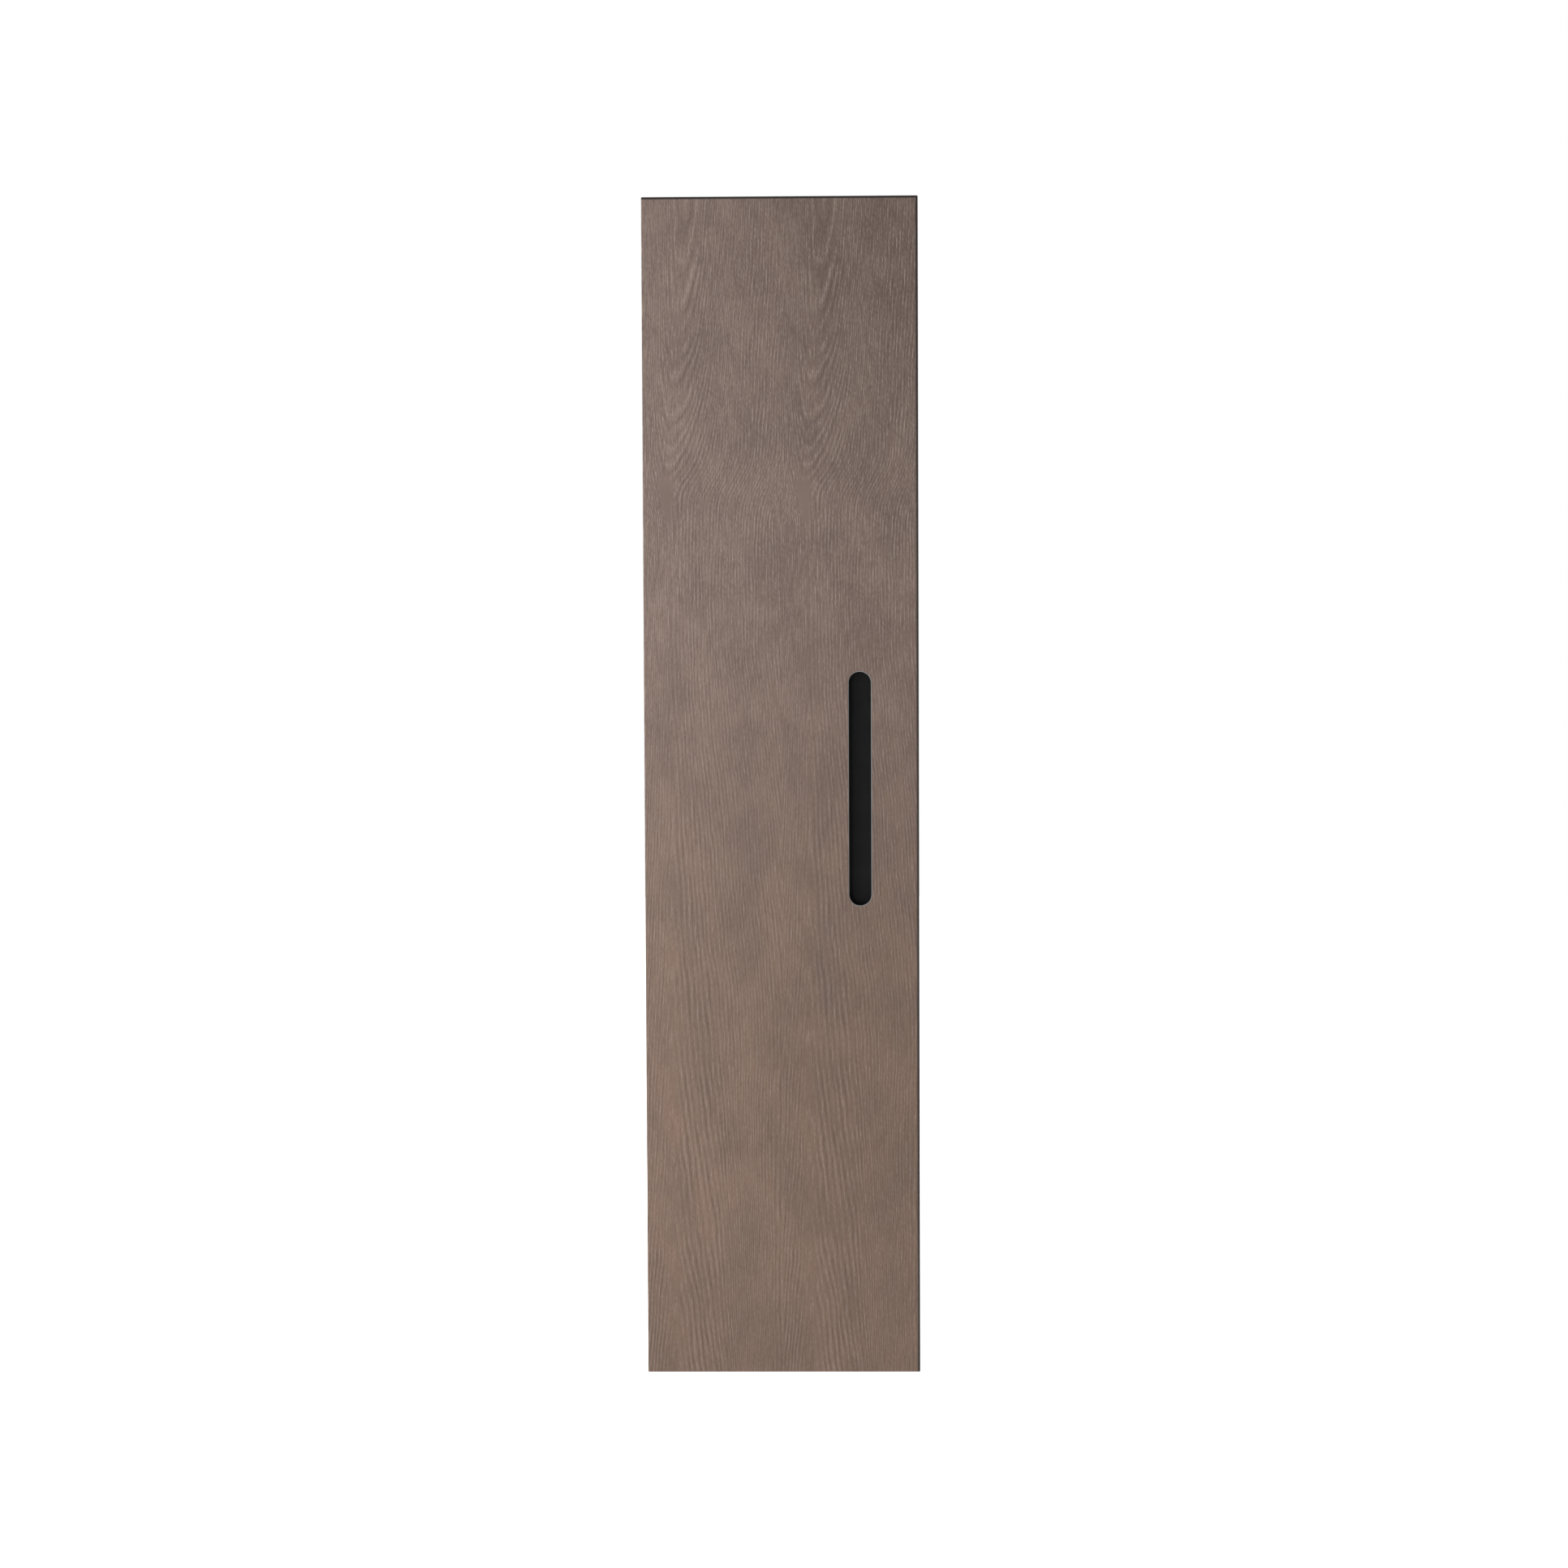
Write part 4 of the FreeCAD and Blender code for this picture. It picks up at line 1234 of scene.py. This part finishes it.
    def shaded(self, solid: Socket) -> Socket:
        """Shades a solid smooth, but for its sharp edges.

        Args:
            solid: The solid.

        Returns:
            The shaded solid.
        """
        rounded = self.add("GeometryNodeSetShadeSmooth", {"Geometry": solid}, domain="FACE")
        angle = self.add("GeometryNodeInputMeshEdgeAngle").outputs["Unsigned Angle"]
        sharp = self.math("GREATER_THAN", angle, self.crease)
        inputs = {"Geometry": rounded.outputs[0], "Selection": sharp, "Shade Smooth": False}
        return self.add("GeometryNodeSetShadeSmooth", inputs, domain="EDGE").outputs[0]


class Screw(Fitting):
    """A pan-head screw with a cross recess and a pointed thread."""

    name = "screw"
    sizes = {
        "Length": 12 * MM,
        "Head Width": 7 * MM,
        "Head Height": 1.6 * MM,
        "Shank Width": 3.5 * MM,
        "Pitch": 1.4 * MM,
        "Tip": 3 * MM,
        "Recess Width": 3.6 * MM,
        "Recess Depth": 1.1 * MM,
    }
    pan = ((0.0, 0.92), (0.1, 1.0), (0.35, 1.0), (0.62, 0.95), (0.84, 0.84), (0.96, 0.68), (1.0, 0.5))

    def shape(self) -> Socket:
        """Turns the head, cuts its recess and adds the thread.

        Returns:
            The screw.
        """
        head = self.domed(self.pan, self.given["Head Height"], self.given["Head Width"])
        foot = self.below(self.given["Length"])
        thread = self.threaded(foot, self.below(self.given["Head Height"]), self.given["Shank Width"])
        return self.joined(self.cut(head, self.cross()), thread)


class CamLock(Fitting):
    """A cast cam with a cross recess, a mark that points at the bolt and a mouth for the bolt's head."""

    name = "cam_lock"
    sizes = {
        "Length": 13 * MM,
        "Head Width": 15 * MM,
        "Chamfer": 0.4 * MM,
        "Recess Width": 6.6 * MM,
        "Recess Depth": 3 * MM,
        "Bolt Depth": 8 * MM,
        "Mouth": 7.2 * MM,
        "Mark Width": 1.1 * MM,
        "Mark Depth": 0.6 * MM,
    }
    sides = 40
    mark_length = 0.3
    mark_place = 0.78
    mouth_length = 1.4

    def shape(self) -> Socket:
        """Turns the cam and cuts its recess, mark and mouth.

        Returns:
            The cam.
        """
        given = self.given
        radius = self.half(given["Head Width"])
        mark = self.block((given["Mark Width"], self.times(radius, self.mark_length), given["Mark Depth"]),
                          (0.0, self.times(radius, self.mark_place), 0.0))
        mouth = self.block((given["Mouth"], self.times(radius, self.mouth_length), given["Mouth"]),
                           (0.0, radius, self.below(given["Bolt Depth"])))
        cam = self.chamfered(given["Length"], radius, given["Chamfer"])
        return self.cut(cam, [*self.cross(), mark, mouth])


class CamBolt(Fitting):
    """A steel bolt with a ball head for a cam, a slim neck, a collar and a thread.

    The rings of the collar are in millimetres from the thread's end, those of the rest from the outer end.
    """

    name = "cam_bolt"
    sizes = {
        "Length": 42 * MM,
        "Head Width": 6.6 * MM,
        "Thread Length": 10.5 * MM,
        "Pitch": 1.6 * MM,
        "Tip": 2 * MM,
    }
    sides = 24
    collar = ((-0.2, 0.7), (0.0, 1.0), (1.4, 1.0), (1.7, 0.7), (2.2, 0.66))
    neck = ((-9.5, 0.66), (-8.6, 0.52), (-6.4, 0.52), (-5.2, 0.55))
    ball = ((-4.4, 0.9), (-3.3, 1.0), (-1.2, 1.0), (-0.4, 0.85), (0.0, 0.55))
    thread_width = 0.9

    def shape(self) -> Socket:
        """Turns the bolt from its collar to its ball head, and adds the thread.

        Returns:
            The bolt.
        """
        radius = self.half(self.given["Head Width"])
        foot = self.below(self.given["Length"])
        seat = self.plus(foot, self.given["Thread Length"])
        profile = [(self.plus(seat, up * MM), self.times(radius, wide)) for up, wide in self.collar]
        profile += [(up * MM, self.times(radius, wide)) for up, wide in self.neck + self.ball]
        width = self.times(self.given["Head Width"], self.thread_width)
        return self.joined(self.turned(profile), self.threaded(foot, seat, width))


class Dowel(Fitting):
    """A fluted wood dowel with chamfered ends."""

    name = "dowel"
    sizes = {"Length": 30 * MM, "Head Width": 8 * MM, "Chamfer": 1.2 * MM, "Flute Depth": 0.4 * MM}
    flutes = 16
    sides = 4 * flutes

    def shape(self) -> Socket:
        """Turns the dowel and presses the flutes into it.

        Returns:
            The dowel.
        """
        radius = self.half(self.given["Head Width"])
        rod = self.chamfered(self.given["Length"], radius, self.given["Chamfer"])
        x, y, z = self.corner()
        turn = self.times(self.over(self.math("ARCTAN2", y, x), math.tau), self.flutes)
        groove = self.times(self.math("PINGPONG", turn, 0.5), 2.0)
        kept = self.minus(1.0, self.times(groove, self.over(self.given["Flute Depth"], radius)))
        return self.moved(rod, self.times(x, kept), self.times(y, kept), z)


class ShelfPin(Fitting):
    """A shelf pin with a collar at the board, level on top where the shelf rests."""

    name = "shelf_pin"
    sizes = {
        "Length": 16 * MM,
        "Shank Width": 5 * MM,
        "Head Width": 7 * MM,
        "Reach": 8 * MM,
        "Collar": 1 * MM,
        "Edge": 0.4 * MM,
    }

    def shape(self) -> Socket:
        """Turns the pin with its collar and levels its top.

        Returns:
            The pin.
        """
        edge = self.given["Edge"]
        eased = self.half(edge)
        pin = self.half(self.given["Shank Width"])
        slim = self.minus(pin, edge)
        wide = self.half(self.given["Head Width"])
        foot = self.below(self.given["Length"])
        board = self.below(self.given["Reach"])
        front = self.plus(board, self.given["Collar"])
        solid = self.turned([
            (foot, slim),
            (self.plus(foot, edge), pin),
            (self.minus(board, TOUCH), pin),
            (board, wide),
            (self.minus(front, eased), wide),
            (front, self.minus(wide, eased)),
            (self.plus(front, TOUCH), pin),
            (self.below(edge), pin),
            (0.0, slim),
        ])
        x, y, z = self.corner()
        return self.moved(solid, x, self.least(y, pin), z)


class Bumper(Fitting):
    """A soft stick-on bumper, domed towards the cabinet."""

    name = "bumper"
    sizes = {"Length": 2.8 * MM, "Head Width": 8 * MM}
    sides = 40
    dome = ((0.0, 1.0), (0.3, 1.0), (0.55, 0.96), (0.76, 0.86), (0.9, 0.7), (0.97, 0.5), (1.0, 0.25))

    def shape(self) -> Socket:
        """Turns the dome on its flat foot."""
        return self.domed(self.dome, self.given["Length"], self.given["Head Width"])


@dataclass(frozen=True)
class Fastening:
    """A group of equal fasteners, remade in full on the seats of its node."""

    node: str
    fitting: type[Fitting]
    axis: Axis
    facing: Facing = Facing.RECESSED
    sizes: dict[str, float] = field(default_factory=dict)

    def seat_points(self, seats: Sequence[Seat]) -> bpy.types.Object:
        """Makes a mesh of bare points, one on each seat, that know their directions.

        Args:
            seats: The seats.

        Returns:
            The object with that mesh.
        """
        mesh = bpy.data.meshes.new(self.node)
        mesh.from_pydata([seat.end for seat in seats], [], [])
        for name in ("out", "up"):
            kept = mesh.attributes.new(name, "FLOAT_VECTOR", "POINT")
            for point, seat in zip(kept.data, seats):
                point.vector = getattr(seat, name)
        item = bpy.data.objects.new(f"detailed_{self.node}", mesh)
        bpy.context.scene.collection.objects.link(item)
        return item

    def build(self, finishes: Finishes) -> None:
        """Makes the fasteners and lets them stand for the node.

        Args:
            finishes: The cabinet's finishes.
        """
        seats = [Seat.find(corners, self.axis, self.facing) for corners in loose_solids(self.node)]
        slot = finishes.slots[self.node]
        read = {
            "Length": seats[0].length,
            "Head Width": seats[0].width,
            "Head Height": seats[0].head,
            "Shank Width": seats[0].shank,
            "Finish": finishes.by_slot[slot],
            **self.sizes,
        }
        item = self.seat_points(seats)
        maker = item.modifiers.new("fasteners", "NODES")
        maker.node_group = self.fitting.group()
        for socket in maker.node_group.interface.items_tree:
            if socket.in_out == "INPUT" and socket.name in read:
                maker[socket.identifier] = read[socket.name]
        scene = bpy.context.evaluated_depsgraph_get()
        mesh = bpy.data.meshes.new_from_object(item.evaluated_get(scene))
        item.modifiers.remove(maker)
        item.data = mesh
        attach(item, frame["nodes"][self.node]["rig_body"])
        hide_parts(self.node)
        LOG.info("built %d %s with %d faces", len(seats), self.node, len(mesh.polygons))


@dataclass
class Assembly:
    """Pieces that belong together: nodes that keep their solids, and fasteners that are remade."""

    nodes: ClassVar[tuple[str, ...]] = ()

    def fastenings(self) -> list[Fastening]:
        """Lists the groups of fasteners."""
        raise NotImplementedError

    def build(self, finishes: Finishes) -> None:
        """Makes the fasteners."""
        for fastening in self.fastenings():
            fastening.build(finishes)

    def dress(self, finishes: Finishes) -> None:
        """Puts the finishes on the nodes."""
        for node in self.nodes + tuple(fastening.node for fastening in self.fastenings()):
            finishes.dress(node)


@dataclass
class Carcass(Assembly):
    """The boards, shelves and knock-down joints."""

    nodes: ClassVar = ("left_side_panel", "right_side_panel", "top_panel", "bottom_panel", "back_panel",
                       "fixed_shelf", "shelf_1", "shelf_2", "shelf_3", "shelf_4")
    cam_recess: float = 6.6 * MM
    bolt_depth: float = 8 * MM
    flute_depth: float = 0.4 * MM

    def fastenings(self) -> list[Fastening]:
        """Lists the cams, bolts, dowels and shelf pins.

        Returns:
            The groups of fasteners.
        """
        cam_sizes = {"Recess Width": self.cam_recess, "Bolt Depth": self.bolt_depth}
        return [
            Fastening("cam_locks", CamLock, Axis.UP, sizes=cam_sizes),
            Fastening("cam_bolts", CamBolt, Axis.ACROSS, Facing.INWARD),
            Fastening("wood_dowels", Dowel, Axis.ACROSS, Facing.INWARD, {"Flute Depth": self.flute_depth}),
            Fastening("shelf_pins", ShelfPin, Axis.ACROSS, Facing.INWARD),
        ]


@dataclass
class Door(Assembly):
    """The veneered panel and its soft bumpers."""

    nodes: ClassVar = ("door_panel",)

    def fastenings(self) -> list[Fastening]:
        """Lists the bumpers."""
        return [Fastening("door_bumpers", Bumper, Axis.DEPTH, Facing.BACK)]


@dataclass
class Handle(Assembly):
    """The black collar and tray of the finger slot."""

    nodes: ClassVar = ("handle_collar", "handle_tray")
    screw_tip: float = 3 * MM

    def fastenings(self) -> list[Fastening]:
        """Lists the tray's screws."""
        return [Fastening("handle_tray_screws", Screw, Axis.DEPTH, sizes={"Tip": self.screw_tip})]


@dataclass
class Hinges(Assembly):
    """Three concealed hinges: cups and pins on the door, arms and plates on the left side."""

    nodes: ClassVar = tuple(f"{place}_hinge_{piece}" for place in ("top", "middle", "bottom")
                            for piece in ("cup", "pin", "arm", "plate"))
    arm_screw_pitch: float = 0.8 * MM
    arm_screw_tip: float = 0.4 * MM

    def fastenings(self) -> list[Fastening]:
        """Lists the screws of the cups, plates and arms.

        Returns:
            The groups of fasteners.
        """
        arm_sizes = {"Pitch": self.arm_screw_pitch, "Tip": self.arm_screw_tip}
        return [
            Fastening("cup_screws", Screw, Axis.DEPTH),
            Fastening("plate_screws", Screw, Axis.ACROSS),
            Fastening("arm_screws", Screw, Axis.ACROSS, sizes=arm_sizes),
        ]


@dataclass
class Catch(Assembly):
    """The magnetic catch and its strike plate."""

    nodes: ClassVar = ("catch_housing", "catch_magnet", "catch_poles", "strike_plate")
    strike_recess: float = 0.7 * MM

    def fastenings(self) -> list[Fastening]:
        """Lists the screws of the housing and of the strike plate.

        Returns:
            The groups of fasteners.
        """
        return [
            Fastening("catch_screws", Screw, Axis.ACROSS),
            Fastening("strike_screws", Screw, Axis.DEPTH, sizes={"Recess Depth": self.strike_recess}),
        ]


@dataclass
class WallHanging(Assembly):
    """The wall rail and the two adjustable hangers."""

    nodes: ClassVar = ("wall_rail", "left_hanger_body", "right_hanger_body", "left_hanger_hook",
                       "right_hanger_hook")
    adjuster_pitch: float = 0.8 * MM
    adjuster_tip: float = 0.4 * MM

    def fastenings(self) -> list[Fastening]:
        """Lists the fixing screws and the adjusting screws.

        Returns:
            The groups of fasteners.
        """
        adjuster_sizes = {"Pitch": self.adjuster_pitch, "Tip": self.adjuster_tip}
        return [
            Fastening("hanger_screws", Screw, Axis.ACROSS),
            Fastening("hanger_adjusters", Screw, Axis.DEPTH, sizes=adjuster_sizes),
        ]


@dataclass(frozen=True)
class SoftBox:
    """A soft light: where it stands, its width and height, and its power in watts."""

    name: str
    place: tuple[float, float, float]
    spread: Span
    strength: float

    def build(self, target: Vector) -> None:
        """Sets up the light.

        Args:
            target: The place that it points at.
        """
        lamp = bpy.data.lights.new(self.name, "AREA")
        lamp.shape = "RECTANGLE"
        lamp.size, lamp.size_y = self.spread
        lamp.energy = self.strength
        item = bpy.data.objects.new(self.name, lamp)
        item.location = self.place
        item.rotation_euler = (target - Vector(self.place)).to_track_quat("-Z", "Y").to_euler()
        bpy.context.scene.collection.objects.link(item)


@dataclass
class Studio:
    """A pale floor, soft light mostly from the left and a camera in front, all around the hanging cabinet.

    The room is dim, and lighter on the left, below and above: each of these has an axis, the span of
    directions that it grows over, and its strength.
    """

    lights: ClassVar = (
        SoftBox("key", (-2.6, -2.6, -0.75), (1.6, 2.4), 57.0),
        SoftBox("fill", (-1.0, -3.6, -0.9), (0.7, 1.6), 18.0),
        SoftBox("side", (2.6, -0.2, -0.3), (1.2, 1.8), 45.0),
        SoftBox("back", (-0.8, 3.2, -0.2), (1.8, 1.8), 45.0),
    )
    room: ClassVar = ((0, (0.4, -1.0), 0.35), (2, (0.2, -0.8), 0.3), (2, (0.5, 1.0), 0.5))
    room_base: float = 0.19
    floor_drop: float = 400 * MM
    floor_half: float = 12.0
    floor_colour: Colour = (0.85, 0.85, 0.85, 1.0)
    floor_roughness: float = 0.8
    floor_glow: float = 0.9
    floor_fade: Span = (0.8, 3.5)
    floor_bounce: float = 0.15
    distance: float = 3.0
    front: float = -319.5 * MM
    middle: float = -689 * MM
    camera_right: float = 42.0 * MM
    camera_up: float = 109.0 * MM
    tilt: float = -1.9575
    roll: float = 0.2448
    pan: float = 0.7384
    lens: float = 54.052
    sensor: float = 36.0

    def build(self) -> None:
        """Makes the whole studio."""
        self.floor()
        self.world()
        for light in self.lights:
            light.build(Vector((0.0, self.front, self.middle)))
        self.camera()
        bpy.context.scene.view_settings.view_transform = "Standard"
        bpy.context.scene.view_settings.look = "None"

    def floor(self) -> None:
        """Lays the floor below the cabinet, which glows to the camera and hardly to the cabinet."""
        height = CAD_BOX[0].z - self.floor_drop
        half = self.floor_half
        mesh = bpy.data.meshes.new("floor")
        corners = [(-half, -half, height), (half, -half, height), (half, half, height), (-half, half, height)]
        mesh.from_pydata(corners, [], [(0, 1, 2, 3)])
        plane = bpy.data.objects.new("floor", mesh)
        bpy.context.scene.collection.objects.link(plane)
        skin = Skin("pale_floor")
        squares = [skin.math("POWER", skin.place[axis], 2.0) for axis in (0, 1)]
        away = skin.math("SQRT", skin.plus(*squares))
        seen = skin.between(skin.smooth(away, self.floor_fade), self.floor_glow, 1.0)
        to_camera = skin.add("ShaderNodeLightPath").outputs["Is Camera Ray"]
        skin.set(colour=self.floor_colour, roughness=self.floor_roughness, glow=WHITE,
                 glow_strength=skin.between(to_camera, self.floor_bounce, seen))
        mesh.materials.append(skin.material)

    def world(self) -> None:
        """Makes a white ground behind the cabinet and a dim room around it."""
        world = bpy.data.worlds.new("studio")
        world.use_nodes = True
        bpy.context.scene.world = world
        world.node_tree.nodes.clear()
        graph = Graph(world.node_tree)
        direction = graph.split(graph.add("ShaderNodeTexCoord").outputs["Generated"])
        strength: Feed = self.room_base
        for axis, span, share in self.room:
            strength = graph.line(graph.smooth(direction[axis], span), share, strength)
        dim = graph.add("ShaderNodeBackground", {"Color": WHITE, "Strength": strength}).outputs[0]
        white = graph.add("ShaderNodeBackground", {"Color": WHITE}).outputs[0]
        to_camera = graph.add("ShaderNodeLightPath").outputs["Is Camera Ray"]
        mixed = graph.add("ShaderNodeMixShader", {0: to_camera, 1: dim, 2: white})
        graph.add("ShaderNodeOutputWorld", {"Surface": mixed.outputs[0]})

    def camera(self) -> None:
        """Stands the camera in front, a little right of and above the middle."""
        data = bpy.data.cameras.new("camera")
        data.sensor_width = self.sensor
        data.lens = self.lens
        item = bpy.data.objects.new("camera", data)
        item.location = (self.camera_right, self.front - self.distance, self.middle + self.camera_up)
        turns = (90.0 + self.tilt, self.roll, self.pan)
        item.rotation_euler = Euler([math.radians(turn) for turn in turns], "XYZ")
        bpy.context.scene.collection.objects.link(item)
        bpy.context.scene.camera = item


def main() -> None:
    """Builds the finishes, the pieces and the studio."""
    logging.basicConfig(level=logging.INFO, format="%(message)s")
    finishes = Finishes()
    for assembly in (Carcass(), Door(), Handle(), Hinges(), Catch(), WallHanging()):
        assembly.build(finishes)
        assembly.dress(finishes)
    Studio().build()


if __name__ == "__main__":
    main()
